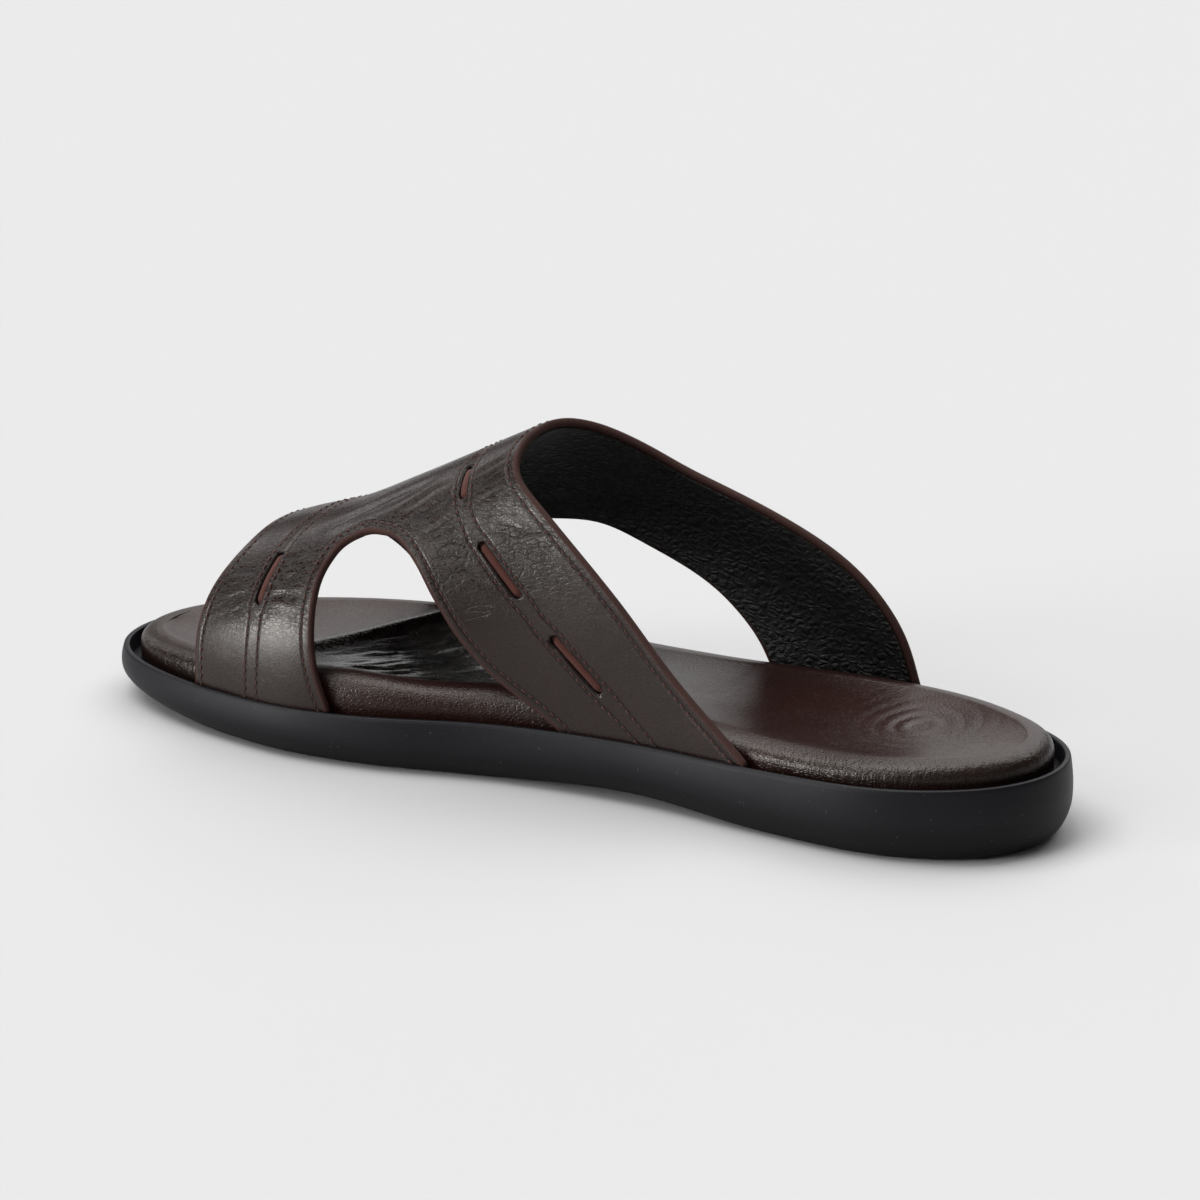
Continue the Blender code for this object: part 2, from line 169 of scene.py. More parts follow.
class Wire:  # a node's output; its operators add Math nodes
    def __init__(self, tree, socket):
        self.tree = tree
        self.socket = socket

    def maths(self, operation, first, second):
        return self.tree.add("ShaderNodeMath", {"operation": operation}, {0: first, 1: second})

    def __add__(self, other):
        return self.maths("ADD", self, other)

    def __sub__(self, other):
        return self.maths("SUBTRACT", self, other)

    def __rsub__(self, other):
        return self.maths("SUBTRACT", other, self)

    def __mul__(self, other):
        return self.maths("MULTIPLY", self, other)

    def __truediv__(self, other):
        return self.maths("DIVIDE", self, other)

    def __pow__(self, other):
        return self.maths("POWER", self, other)

    __radd__ = __add__
    __rmul__ = __mul__


class Tree:
    def __init__(self, nodeTree):
        self.nodes = nodeTree.nodes
        self.links = nodeTree.links

    def add(self, kind, settings=None, inputs=None, out=0):
        node = self.nodes.new(kind)
        for name, value in (settings or {}).items():
            setattr(node, name, value)
        for name, value in (inputs or {}).items():
            if isinstance(value, Wire):
                self.links.new(value.socket, node.inputs[name])
            else:
                node.inputs[name].default_value = value
        return Wire(self, node.outputs[out])

    def noise(self, place, scale, detail=2.0, roughness=0.5, out="Fac"):
        sizes = {"Vector": place, "Scale": scale, "Detail": detail, "Roughness": roughness}
        return self.add("ShaderNodeTexNoise", None, sizes, out)

    def grain(self, place, scale, groove):  # 0 between the grain's cells, 1 inside them
        sizes = {"Vector": place, "Scale": scale}
        cells = self.add("ShaderNodeTexVoronoi", {"feature": "DISTANCE_TO_EDGE"}, sizes, "Distance")
        return self.ramp(cells, 0.0, groove)

    def vector(self, operation, inputs):
        return self.add("ShaderNodeVectorMath", {"operation": operation}, inputs)

    def shifted(self, place, scale, amount):  # the place, pushed about by noise
        push = self.vector("SUBTRACT", {0: self.noise(place, scale, out="Color"), 1: (0.5,) * 3})
        return self.vector("ADD", {0: place, 1: self.vector("SCALE", {0: push, "Scale": amount})})

    def stretched(self, place, *scale):
        return self.add("ShaderNodeMapping", None, {"Vector": place, "Scale": scale})

    def turned(self, place, angle):
        return self.add("ShaderNodeMapping", None, {"Vector": place, "Rotation": (0.0, 0.0, angle)})

    def ramp(self, value, low, high, start=0.0, end=1.0):
        ends = {"Value": value, "From Min": low, "From Max": high, "To Min": start, "To Max": end}
        return self.add("ShaderNodeMapRange", {"interpolation_type": "SMOOTHSTEP"}, ends)

    def near(self, distance, half):  # 1 on a line, 0 from half a width away
        return self.ramp((distance / half) ** 2.0, 0.0, 1.0, 1.0, 0.0)

    def mix(self, factor, first, second):
        return self.add("ShaderNodeMix", {"data_type": "RGBA"}, {0: factor, 6: first, 7: second}, 2)

    def attributes(self, names):
        for name in names.split():
            yield self.add("ShaderNodeAttribute", {"attribute_name": name}, None, "Fac")


def makeMaterial(name, look, recipe=None):
    material = bpy.data.materials.new(name)
    material.use_nodes = True
    tree = Tree(material.node_tree)
    shader = tree.nodes["Principled BSDF"]
    for socket, value in look["fixed"].items():
        shader.inputs[socket].default_value = value
    if recipe:
        place = tree.add("ShaderNodeTexCoord", out="Object")
        colour, roughness, height, *coat = recipe(tree, place, look)
        bump = tree.add("ShaderNodeBump", None, {"Height": height, "Distance": look["bump"]})
        wires = (colour, roughness, bump, *coat)
        for socket, wire in zip(("Base Color", "Roughness", "Normal", "Coat Weight"), wires):
            tree.links.new(wire.socket, shader.inputs[socket])
    return material


def linear(*screen):  # a screen colour from 0 to 255, as the shader wants it
    shares = [((c / 255 + 0.055) / 1.055) ** 2.4 if c > 10 else c / 255 / 12.92 for c in screen]
    return (*shares, 1.0)


# In every look, grain is counted to the metre, bump is the relief's height in metres, and fixed
# is the same all over. A recipe gives colour, roughness, height and, on the footbed, the coat.
strapLook = {
    "dark": linear(20, 8, 7),
    "light": linear(37, 18, 14),
    # painted shade for the grain's grooves, the creases and the cracks
    "hollowShade": linear(12, 6, 5),
    # painted shade for the stitch holes and the groove along each seam
    "stitchHoleShade": linear(8, 4, 4),
    "borders": linear(58, 34, 30),
    "pebble": 1000.0,
    "vein": 700.0,
    "fine": 1750.0,
    "seamHalf": 0.00040,
    "pullHalf": 0.0009,  # the leather is drawn down beside a seam
    "crackHalf": 0.00030,
    "crackWander": 0.0011,
    "border": 0.0008,
    "bump": 0.00014,
    "fixed": {"IOR": 1.5, "Specular IOR Level": 0.38, "Specular Tint": (1.0, 0.97, 0.92, 1.0)},
}


def strapRecipe(tree, place, look):
    wavy = tree.shifted(place, 240.0, 0.0022)
    milled, toEdge, toSeam = tree.attributes("milled toEdge toSeam")
    fromCrease, creaseDepth = tree.attributes("fromCrease creaseDepth")
    cloudy = tree.noise(place, 60.0, 3.0)
    patches = tree.ramp(tree.noise(place, 130.0, 2.0), 0.36, 0.56)
    veins = 1.0 - tree.grain(tree.stretched(wavy, 1.0, 0.38, 1.0), look["vein"], 0.14)
    creased = veins * patches * milled
    groove = 1.0 - tree.grain(tree.stretched(wavy, 1.0, 0.5, 1.0), look["pebble"], 0.20)
    groove = groove * (milled * 0.55 + 0.20)
    small = tree.grain(wavy, look["fine"], 0.30)
    pores = tree.noise(place, 4200.0, 2.0)
    seam = tree.near(toSeam, look["seamHalf"])
    pull = tree.near(toSeam, look["pullHalf"])
    wander = tree.noise(place, 900.0, 3.0) - 0.5
    crack = tree.near(fromCrease + wander * look["crackWander"], look["crackHalf"]) * creaseDepth
    height = small * 0.08 + pores * 0.03 - creased * 0.40 - groove * 0.16
    height = height - crack * 2.2 - seam * 1.0 - pull * 0.45
    colour = tree.mix(cloudy * 0.6 + pores * 0.4, look["dark"], look["light"])
    # painted shade: grooves, creases and cracks are darkened, the fine grain cells left lighter
    shadedHollows = groove * 0.5 + creased * 0.8 + crack * 0.9 + 0.3 - small * 0.3
    colour = tree.mix(shadedHollows, colour, look["hollowShade"])
    # painted shade: the leather along the seams is darkened as if in its stitch holes
    colour = tree.mix(seam, colour, look["stitchHoleShade"])
    colour = tree.mix(tree.ramp(toEdge, 0.0, look["border"], 0.6, 0.0), colour, look["borders"])
    roughness = cloudy * 0.10 + groove * 0.20 + creased * 0.25 + crack * 0.3
    roughness = roughness + pores * 0.12 - small * 0.05 + seam * 0.4 + 0.17
    return colour, roughness, height


cutEdgeLook = {
    "dark": linear(28, 15, 13),
    "light": linear(76, 50, 44),
    "fibres": 1900.0,
    "bump": 0.00025,
    "fixed": {"IOR": 1.45, "Specular IOR Level": 0.2},
}


def cutEdgeRecipe(tree, place, look):
    fibres = tree.noise(place, look["fibres"], 4.0, 0.65)
    patches = tree.noise(place, 160.0, 2.0)
    colour = tree.mix(fibres * 0.7 + patches * 0.3, look["dark"], look["light"])
    return colour, fibres * 0.2 + 0.6, fibres


liningLook = {
    "dark": linear(4, 3, 3),
    "light": linear(15, 14, 12),
    "pebble": 470.0,
    "fine": 1500.0,
    "bump": 0.00026,
    "fixed": {"IOR": 1.5, "Specular IOR Level": 0.45},
}


def liningRecipe(tree, place, look):
    wavy = tree.shifted(place, 200.0, 0.0045)
    pebbles = tree.grain(tree.stretched(wavy, 1.0, 0.70, 1.1), look["pebble"], 0.40)
    small = tree.grain(wavy, look["fine"], 0.35)
    cloudy = tree.noise(place, 70.0, 3.0)
    colour = tree.mix(cloudy * pebbles, look["dark"], look["light"])
    height = pebbles * (cloudy + 0.2) * 1.6 + small * 0.3
    return colour, 0.50 - pebbles * 0.10 + cloudy * 0.1, height


footbedLook = {
    "dark": linear(21, 9, 7),
    "light": linear(44, 20, 16),
    "side": linear(25, 18, 14),
    # painted shade and dark reflection for the dish under the straps
    "dish": linear(9, 8, 6),
    # painted glints and sheen for the dish's ripples and the combed wrinkles
    "paintedGlints": linear(84, 82, 74),
    "pebble": 1350.0,
    "fine": 1900.0,
    "creaseTurn": 0.461,  # angle of the wrinkles beside the toe ridge to the foot
    "bump": 0.00014,
    "fixed": {
        "IOR": 1.5,
        "Specular IOR Level": 0.36,
        "Specular Tint": (1.0, 0.95, 0.90, 1.0),
        "Coat Roughness": 0.26,
        "Coat IOR": 1.8,
    },
}


def footbedRecipe(tree, place, look):
    wavy = tree.shifted(place, 150.0, 0.002)
    turned = tree.turned(wavy, look["creaseTurn"])
    comb, dish, onSide, rolled = tree.attributes("comb dish onSide rolled")
    cloudy = tree.noise(place, 38.0, 3.0)
    wrinkles = tree.noise(tree.stretched(wavy, 1.0, 0.45, 1.0), 520.0, 3.0, 0.55)
    combed = tree.noise(tree.stretched(turned, 1.0, 0.16, 1.0), 1150.0, 2.0, 0.6)
    combed = tree.ramp(combed, 0.35, 0.65) * comb
    rippled = tree.noise(tree.stretched(turned, 0.20, 1.0, 1.0), 640.0, 3.0, 0.6)
    rippled = tree.ramp(rippled, 0.40, 0.62) * dish
    upright = tree.noise(tree.stretched(wavy, 1.0, 1.0, 0.22), 640.0, 2.0, 0.6)
    upright = tree.ramp(upright, 0.35, 0.65) * onSide
    pebbles = tree.grain(tree.stretched(wavy, 1.0, 0.6, 1.0), look["pebble"], 0.32)
    small = tree.grain(wavy, look["fine"], 0.35)
    pores = tree.noise(place, 4200.0, 2.0)
    height = wrinkles * 0.42 + pebbles * 0.30 + small * 0.10 + pores * 0.05
    height = height + upright * 0.6 + combed * 1.4 + rippled * 1.7
    colour = tree.mix(cloudy * 0.6 + pores * 0.4, look["dark"], look["light"])
    colour = tree.mix(onSide * 0.7, colour, look["side"])
    # painted shade: the dish is darkened where the straps shade it and their dark lining reflects
    # in it, less on the combed slope
    colour = tree.mix(dish * 0.9 - dish * comb * 0.4, colour, look["dish"])
    # painted glints: the ripples and the combed wrinkles are lightened towards a grey sheen colour
    colour = tree.mix(rippled * 0.5 + combed * 0.25, colour, look["paintedGlints"])
    roughness = 0.20 + cloudy * 0.08 + pores * 0.10 + rolled * 0.07 - dish * 0.06 - comb * 0.04
    return colour, roughness, height, dish


rubberLook = {
    "dark": linear(9, 9, 11),
    "light": linear(20, 20, 25),
    "dust": linear(66, 68, 74),
    "ribs": 80.0,
    "treadRise": 24.0,  # how much deeper the tread is than the rubber's pores
    "bump": 0.00004,
    "fixed": {"IOR": 1.5, "Specular IOR Level": 0.19},
}


def rubberRecipe(tree, place, look):
    cloudy = tree.noise(place, 45.0, 3.0)
    dust = tree.ramp(tree.noise(place, 900.0, 1.0), 0.73, 0.79)
    pores = tree.noise(place, 3200.0, 3.0, 0.6)
    band, under = tree.attributes("band under")
    waves = {"Vector": tree.shifted(place, 30.0, 0.012), "Scale": look["ribs"]}
    ribs = tree.add("ShaderNodeTexWave", {"bands_direction": "Y"}, waves)
    tread = tree.ramp(ribs, 0.25, 0.45) * under * look["treadRise"]
    # painted light: the upper part of the sole's side, which faces the light, is lighter
    colour = tree.mix(cloudy * 0.5 + band * 0.5, look["dark"], look["light"])
    colour = tree.mix(dust * 0.5, colour, look["dust"])
    roughness = 0.44 + cloudy * 0.08 + pores * 0.08 - band * 0.06
    return colour, roughness, pores - dust * 0.5 + tread


suedeLook = {
    "dark": linear(50, 25, 21),
    "light": linear(92, 53, 45),
    "nap": 2600.0,
    "bump": 0.00015,
    "fixed": {"Sheen Weight": 0.2, "Sheen Roughness": 0.5, "Specular IOR Level": 0.1},
}


def suedeRecipe(tree, place, look):
    nap = tree.noise(place, look["nap"], 4.0, 0.7)
    patches = tree.noise(place, 300.0, 2.0)
    colour = tree.mix(nap * 0.6 + patches * 0.4, look["dark"], look["light"])
    return colour, nap * 0.15 + 0.78, nap


threadLook = {
    "dark": linear(46, 23, 20),
    "light": linear(100, 60, 52),
    "fibres": 4200.0,
    "bump": 0.00005,
    "fixed": {"Sheen Weight": 0.15, "Specular IOR Level": 0.25},
}


def threadRecipe(tree, place, look):
    fibres = tree.noise(place, look["fibres"], 2.0)
    colour = tree.mix(fibres, look["dark"], look["light"])
    return colour, fibres * 0.2 + 0.45, fibres


strapLeather = makeMaterial("strapLeather", strapLook, strapRecipe)
cutEdge = makeMaterial("cutEdge", cutEdgeLook, cutEdgeRecipe)
liningLeather = makeMaterial("liningLeather", liningLook, liningRecipe)
footbedLeather = makeMaterial("footbedLeather", footbedLook, footbedRecipe)
outsoleRubber = makeMaterial("outsoleRubber", rubberLook, rubberRecipe)
rustSuede = makeMaterial("rustSuede", suedeLook, suedeRecipe)
seamThread = makeMaterial("seamThread", threadLook, threadRecipe)
print("materials made")


def addObject(name, data):
    made = bpy.data.objects.new(name, data)
    bpy.context.scene.collection.objects.link(made)
    return made


def newPiece(name, points, faces, materials, which=None, smooth=40):  # smooth is in degrees
    mesh = bpy.data.meshes.new(name)
    mesh.from_pydata([tuple(p) for p in points], [], [tuple(int(i) for i in f) for f in faces])
    for material in materials:
        mesh.materials.append(material)
    if which is not None:
        mesh.polygons.foreach_set("material_index", np.asarray(which, np.int32))
    mesh.shade_smooth()
    mesh.set_sharp_from_angle(angle=math.radians(smooth))
    mesh.update()
    return addObject(name, mesh)


def addValues(piece, **layers):  # a number for each point, which the materials read by name
    for name, values in layers.items():
        layer = piece.data.attributes.new(name, "FLOAT", "POINT")
        layer.data.foreach_set("value", np.asarray(values, np.float32))


def applyModifiers(piece):
    evaluated = piece.evaluated_get(bpy.context.evaluated_depsgraph_get())
    plain = bpy.data.meshes.new_from_object(evaluated)
    piece.modifiers.clear()
    piece.data = plain


def cleaned(mesh, mergeWithin=0.0):  # doubles merged and faces turned outwards
    work = bmesh.new()
    work.from_mesh(mesh)
    if mergeWithin:
        bmesh.ops.remove_doubles(work, verts=work.verts, dist=mergeWithin)
    bmesh.ops.recalc_face_normals(work, faces=work.faces)
    work.to_mesh(mesh)
    work.free()


def finishPiece(piece, slot, *nodes):
    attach(piece, "root")
    if nodes:
        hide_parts(*nodes)
    print(piece.name, len(piece.data.polygons), "faces")


def ringFaces(rows, count, start=0):  # quads between rings of count points
    faces = []
    for low in range(start, start + (rows - 1) * count, count):
        for i in range(count):
            j = (i + 1) % count
            faces.append((low + i, low + j, low + count + j, low + count + i))
    return faces


def stripFaces(ring, columns=None, upwards=True):
    # closes a ring of point numbers with rows from its outer to its inner side
    half = len(ring) // 2
    rows = [[ring[0]]]
    for i in range(1, half):
        rows.append([ring[i], *(columns[i - 1] if columns else ()), ring[-i]])
    rows.append([ring[half]])
    faces = []
    for near, far in zip(rows, rows[1:]):
        if len(near) == 1:
            faces += [(near[0], a, b) for a, b in zip(far, far[1:])]
        elif len(far) == 1:
            faces += [(far[0], b, a) for a, b in zip(near, near[1:])]
        else:
            faces += [(near[k], far[k], far[k + 1], near[k + 1]) for k in range(len(near) - 1)]
    return faces if upwards else [face[::-1] for face in faces]


# outsole

outsole = {
    "pointsRound": 480,
    "bottomEdge": 0.0042,
    "sideBulge": 0.0009,
    "toeSpring": 0.0048,
    "archLift": 0.0022,
    "rimRound": 0.00045,  # radius of the rim's two top edges
    "sideSteps": 5,  # rings for each row of sideRows
}
bottomRows = easedTable(
    "along arch toe edge",
    0.015,
    (0.00, 0.35, 0.00, 1.30), (0.06, 0.00, 0.00, 1.10), (0.24, 0.00, 0.00, 1.00),
    (0.40, 1.00, 0.00, 1.00), (0.57, 0.00, 0.00, 1.15), (0.79, 0.00, 0.00, 1.40),
    (0.90, 0.00, 0.30, 1.70), (1.00, 0.00, 1.00, 2.10),
)
# step numbers the rows; up is a share of the side's height, inset of bottomEdge, bulge of sideBulge
sideRows = easedTable(
    "step up inset bulge",
    0.25,
    (0, 0.000, 1.00, 0.00), (1, 0.035, 0.62, 0.00), (2, 0.110, 0.32, 0.10),
    (3, 0.240, 0.10, 0.40), (4, 0.420, 0.00, 0.85), (5, 0.600, 0.00, 1.00),
    (6, 0.820, 0.00, 0.62), (7, 1.000, 0.00, 0.00),
)


def bottomZ(y):
    along = share(y)
    arch, toe = read(bottomRows, "arch", along), read(bottomRows, "toe", along)
    return outsole["archLift"] * arch + outsole["toeSpring"] * toe


def makeOutsole():
    count = outsole["pointsRound"]
    turns = np.arange(count) * 2 * math.pi / count
    edge = outsole["bottomEdge"] * read(bottomRows, "edge", shareAt(turns))
    rings = []

    def ring(inset, height):
        flat = outline(turns, inset)
        rings.append(np.column_stack([flat, height(flat[:, 1])]))

    for step in np.linspace(0, 7, 7 * outsole["sideSteps"] + 1)[:-1]:
        up = float(read(sideRows, "up", step))
        bulge = read(sideRows, "bulge", step) * outsole["sideBulge"]
        inset = read(sideRows, "inset", step) * edge - bulge
        ring(inset, lambda y: bottomZ(y) + up * (rimZ(y) - bottomZ(y)))
    radius, wall = outsole["rimRound"], shoe["rimWall"]
    angles = np.linspace(0, math.pi / 2, 5)
    corner = [(radius * (1 - math.cos(a)), radius * (1 - math.sin(a))) for a in angles]
    for inset, drop in corner + [(wall - drop, inset) for inset, drop in corner]:
        ring(np.full(count, inset), lambda y: rimZ(y) - drop)
    ring(np.full(count, wall), floorZ)
    faces = ringFaces(len(rings), count)
    last = (len(rings) - 1) * count
    faces += stripFaces(list(range(count)), upwards=False)
    faces += stripFaces([last + i for i in range(count)])
    points = np.concatenate(rings)
    piece = newPiece("rubberOutsole", points, faces, [outsoleRubber], smooth=50)
    up = points[:, 2] / rimZ(points[:, 1])
    under = np.arange(len(points)) < count
    # the upper part of the side, where light is painted into the rubber colour
    addValues(piece, band=smoothStep(0.36, 0.62, up), under=under * 1.0)
    finishPiece(piece, "outsole_rubber", "outsole")


makeOutsole()

# footbed

footbed = {
    "pointsRound": 960,
    "columns": 110,
    "sideRings": 5,
    "rollRings": 16,
    "slip": 0.0005,
    "roll": 0.0072,
    "rollPower": 0.8,
    "crown": 0.010,
    "cup": 0.0042,
    "ridge": 0.0034,
    "ridgeAlong": 0.747,
    "ridgeSlant": 0.045,
    "ridgeSpread": 0.024,
    "ridgeInset": 0.006,  # where the ridge's line is measured from, inside the outline
    "crest": 0.0011,  # the ridge's sharp top
    "crestFront": 0.0055,
    "crestBack": 0.0024,
    "edgeFold": 0.0007,  # where the cover dips off the rolled inner edge
    "softness": 0.0003,  # height of the cover's broad unevenness
}
edgeRows = easedTable(
    "along inner outer out",
    0.02,
    (0.00, 0.60, 0.60, 0.34), (0.12, 0.52, 0.62, 0.18), (0.20, 0.45, 0.66, 0.00),
    (0.32, 0.66, 0.60, 0.00), (0.42, 0.92, 0.50, 0.00), (0.50, 0.90, 0.44, 0.00),
    (0.60, 0.74, 0.44, 0.00), (0.65, 0.88, 0.46, 0.00), (0.71, 1.04, 0.48, 0.00),
    (0.80, 0.82, 0.46, 0.00), (0.88, 0.60, 0.44, 0.00), (1.00, 0.44, 0.44, 0.20),
)
dipRows = easedTable(
    "along depth",
    0.015,
    (0.03, 0.00), (0.10, 0.70), (0.18, 1.00), (0.30, 0.75), (0.42, 0.60), (0.56, 0.75),
    (0.66, 1.05), (0.74, 0.80), (0.82, 0.50), (0.92, 0.25), (0.98, 0.00),
)
heelRipples = {
    "x": 0.0019,
    "y": -0.099,
    "apart": 0.0048,
    "depth": 0.00028,
    "reach": 0.019,
    "warp": 0.0004,
}
ballFolds = {"x": -0.004, "y": 0.040, "wide": 0.042, "long": 0.040, "depth": 0.0009}


def edgeRise(y, side):
    along = share(y)
    inner, outer = read(edgeRows, "inner", along), read(edgeRows, "outer", along)
    return footbed["crown"] * (inner + (outer - inner) * (1 + side) / 2)


def footbedTop(y, place, lean):
    along = share(y)
    inside = np.maximum(1 - place**2, 0.0)
    dip = footbed["cup"] * read(dipRows, "depth", along) * inside**0.8
    middle = footbed["ridgeAlong"] - footbed["ridgeSlant"] * place
    ridge = footbed["ridge"] * bell(along - middle, footbed["ridgeSpread"]) * inside**0.4
    return rimZ(y) + edgeRise(y, lean) - dip + ridge


def ridgeGap(x, y):  # metres in front of the toe ridge's crest
    inner, outer = (sideX(y, footbed["ridgeInset"], side) for side in (-1, 1))
    middle = (inner + outer) / 2
    place = (x - middle) / (outer - middle)
    return y - shoe["length"] * (footbed["ridgeAlong"] - footbed["ridgeSlant"] * place - 0.5)


def wavyNoise(*places):
    return np.array([noise.noise(Vector(place)) for place in zip(*places)])


def footbedValues(x, y):  # where the combed wrinkles and the glossy dish lie
    gap = ridgeGap(x, y)
    comb = smoothStep(-0.020, -0.006, gap) * smoothStep(0.002, -0.001, gap)
    across = (x - ballFolds["x"]) / ballFolds["wide"]
    ahead = (y - ballFolds["y"]) / ballFolds["long"]
    return comb, smoothStep(1.15, 0.55, np.hypot(across, ahead)) * smoothStep(-0.001, -0.006, gap)


def footbedRelief(x, y):
    warp = wavyNoise(x * 55, y * 55, x * 0 + 3)
    away = np.hypot(x - heelRipples["x"], y - heelRipples["y"]) + warp * heelRipples["warp"]
    waves = 0.5 + 0.5 * np.cos(away / heelRipples["apart"] * 2 * math.pi)
    ripples = waves**0.6 * bell(away, heelRipples["reach"]) * smoothStep(0.001, 0.004, away)
    uneven = 0.85 + 1.1 * wavyNoise(x * 70, y * 70, x * 0 + 11)
    relief = ripples * np.clip(uneven, 0.1, 1.4) * heelRipples["depth"]
    turn = footbedLook["creaseTurn"]
    u, v = x * math.cos(turn) - y * math.sin(turn), x * math.sin(turn) + y * math.cos(turn)
    folds = 1 - np.abs(wavyNoise(u * 30, v * 170, u * 0)) * 2.4
    folds += 0.35 * (1 - np.abs(wavyNoise(u * 60, v * 380, u * 0 + 5)) * 2.4)
    _, dish = footbedValues(x, y)
    relief += folds * dish * ballFolds["depth"] - dish * ballFolds["depth"]
    gap = ridgeGap(x, y)
    crest = bell(gap, np.where(gap > 0, footbed["crestFront"], footbed["crestBack"]))
    inner, outer = (sideX(y, footbed["ridgeInset"], side) for side in (-1, 1))
    fromSides = smoothStep(0.0, 0.012, x - inner) * smoothStep(0.0, 0.012, outer - x)
    relief += crest * footbed["crest"] * fromSides
    fold = bell(x - sideX(y, 0.0098, -1), 0.0013) * footbed["edgeFold"]
    relief -= fold * smoothStep(0.000, 0.015, y) * smoothStep(0.078, 0.066, y)
    soft = wavyNoise(x * 45, y * 45, x * 0 + 9)
    return relief + soft * footbed["softness"] * fromSides


def makeFootbed():
    count = footbed["pointsRound"]
    turns = np.arange(count) * 2 * math.pi / count
    inset = shoe["rimWall"] + shoe["gap"] + shoe["wall"] + footbed["slip"]
    side = inset - shoe["wall"] * read(edgeRows, "out", shareAt(turns))
    rings = []
    flat = outline(turns, side)
    bottom = floorZ(flat[:, 1]) + shoe["gap"]
    for up in np.linspace(0, 1, footbed["sideRings"] + 1)[:-1]:
        rings.append(np.column_stack([flat, bottom + up * (rimZ(flat[:, 1]) - bottom)]))
    for k in range(footbed["rollRings"] + 1):
        angle = k / footbed["rollRings"] * math.pi / 2
        out = max(math.cos(angle), 0.0) ** footbed["rollPower"]
        up = math.sin(angle) ** footbed["rollPower"]
        flat = outline(turns, side + footbed["roll"] * (1 - out))
        height = rimZ(flat[:, 1]) + edgeRise(flat[:, 1], np.sin(turns)) * up
        rings.append(np.column_stack([flat, height]))
    faces = ringFaces(len(rings), count)
    points = np.concatenate(rings)
    top = (len(rings) - 1) * count
    half = count // 2
    outer, inner = points[top + 1 : top + half], points[top + count - 1 : top + half : -1]
    place = 1 - 2 * np.arange(1, footbed["columns"]) / footbed["columns"]
    toOuter, toInner = (1 + place[None, :, None]) / 2, (1 - place[None, :, None]) / 2
    mixed = outer[:, None, :2] * toOuter + inner[:, None, :2] * toInner
    lean = place[None, :] * np.sin(turns[1:half])[:, None]
    relief = footbedRelief(mixed[..., 0].ravel(), mixed[..., 1].ravel())
    height = footbedTop(mixed[..., 1], place[None, :], lean) + relief.reshape(mixed.shape[:2])
    middle = np.dstack([mixed, height]).reshape(-1, 3)
    numbers = len(points) + np.arange(len(middle)).reshape(half - 1, -1)
    faces += stripFaces([top + i for i in range(count)], numbers.tolist())
    faces += stripFaces(list(range(count)), upwards=False)
    everyPoint = np.concatenate([points, middle])
    piece = newPiece("footbedCover", everyPoint, faces, [footbedLeather], smooth=60)
    comb, dish = footbedValues(middle[:, 0], middle[:, 1])
    below, above = np.zeros(len(points)), np.zeros(len(middle))
    sides, roll = np.ones(footbed["sideRings"]), np.linspace(0, 1, footbed["rollRings"] + 1)
    onSide = np.repeat(np.concatenate([sides, smoothStep(1.0, 0.5, roll)]), count)
    onSide = onSide * (0.15 + 0.85 * smoothStep(0.070, 0.105, np.abs(points[:, 1])))
    rolled = np.repeat(np.concatenate([sides * 0, smoothStep(0.3, 0.7, roll)]), count)
    inwards = (1 - np.abs(place))[None, :] * np.linalg.norm(outer - inner, axis=1)[:, None] / 2
    fromEnds = np.minimum(middle[:, 1] - points[top, 1], points[top + half, 1] - middle[:, 1])
    rolledTop = smoothStep(0.009, 0.001, np.minimum(inwards.ravel(), fromEnds))
    addValues(
        piece,
        comb=np.concatenate([below, comb]),
        dish=np.concatenate([below, dish]),
        onSide=np.concatenate([onSide, above]),
        rolled=np.concatenate([rolled, rolledTop]),
    )
    finishPiece(piece, "footbed_leather", "footbed")


makeFootbed()

# upper

upper = {
    "crestLean": 0.008,
    "innerSide": 0.95,
    "outerSide": 1.10,
    "innerTop": 0.95,
    "outerTop": 1.15,
    "innerCutTop": 0.350,
    "outerCutTop": 0.555,
    "rearRows": 56,
    "frontRows": 48,
    "sideColumns": 84,
    "bridgeColumns": 112,
}
# from and to are depths under the outer face; inset and bulge shape the cut edge
strapWall = {"from": 0.0, "to": 0.0023, "inset": 0.0, "bulge": 0.0010, "edgeSteps": 8}
liningWall = {"from": 0.0023, "to": shoe["wall"], "inset": 0.0007, "bulge": 0.0001, "edgeSteps": 3}
# share of instepHeight
crestRows = easedTable(
    "along height",
    0.015,
    (0.20, 1.220), (0.35, 1.160), (0.45, 1.068), (0.53, 0.975), (0.60, 0.868), (0.67, 0.762),
    (0.73, 0.672), (0.80, 0.603), (0.86, 0.525), (0.95, 0.350), (1.00, 0.250),
)
# around is -1 at the inner base, 0 on the crest and 1 at the outer base
rearEdge = easedTable(
    "around along",
    0.03,
    (-1.00, 0.272), (-0.91, 0.335), (-0.74, 0.412), (-0.53, 0.488), (-0.36, 0.531),
    (-0.15, 0.543), (0.05, 0.531), (0.22, 0.509), (0.40, 0.465), (0.50, 0.427), (0.60, 0.360),
    (0.71, 0.280), (0.82, 0.233), (1.00, 0.203),
)
frontEdge = easedTable(
    "around along",
    0.03,
    (-1.00, 0.857), (-0.80, 0.858), (-0.57, 0.851), (-0.24, 0.828), (0.04, 0.822),
    (0.30, 0.806), (0.60, 0.779), (0.80, 0.766), (1.00, 0.750),
)
innerCut = easedTable(
    "down rear front",
    0.02,
    (0.00, 0.690, 0.690), (0.20, 0.670, 0.710), (0.36, 0.646, 0.718), (0.57, 0.617, 0.724),
    (0.75, 0.588, 0.722), (0.85, 0.563, 0.718), (0.93, 0.527, 0.711), (1.00, 0.465, 0.700),
)
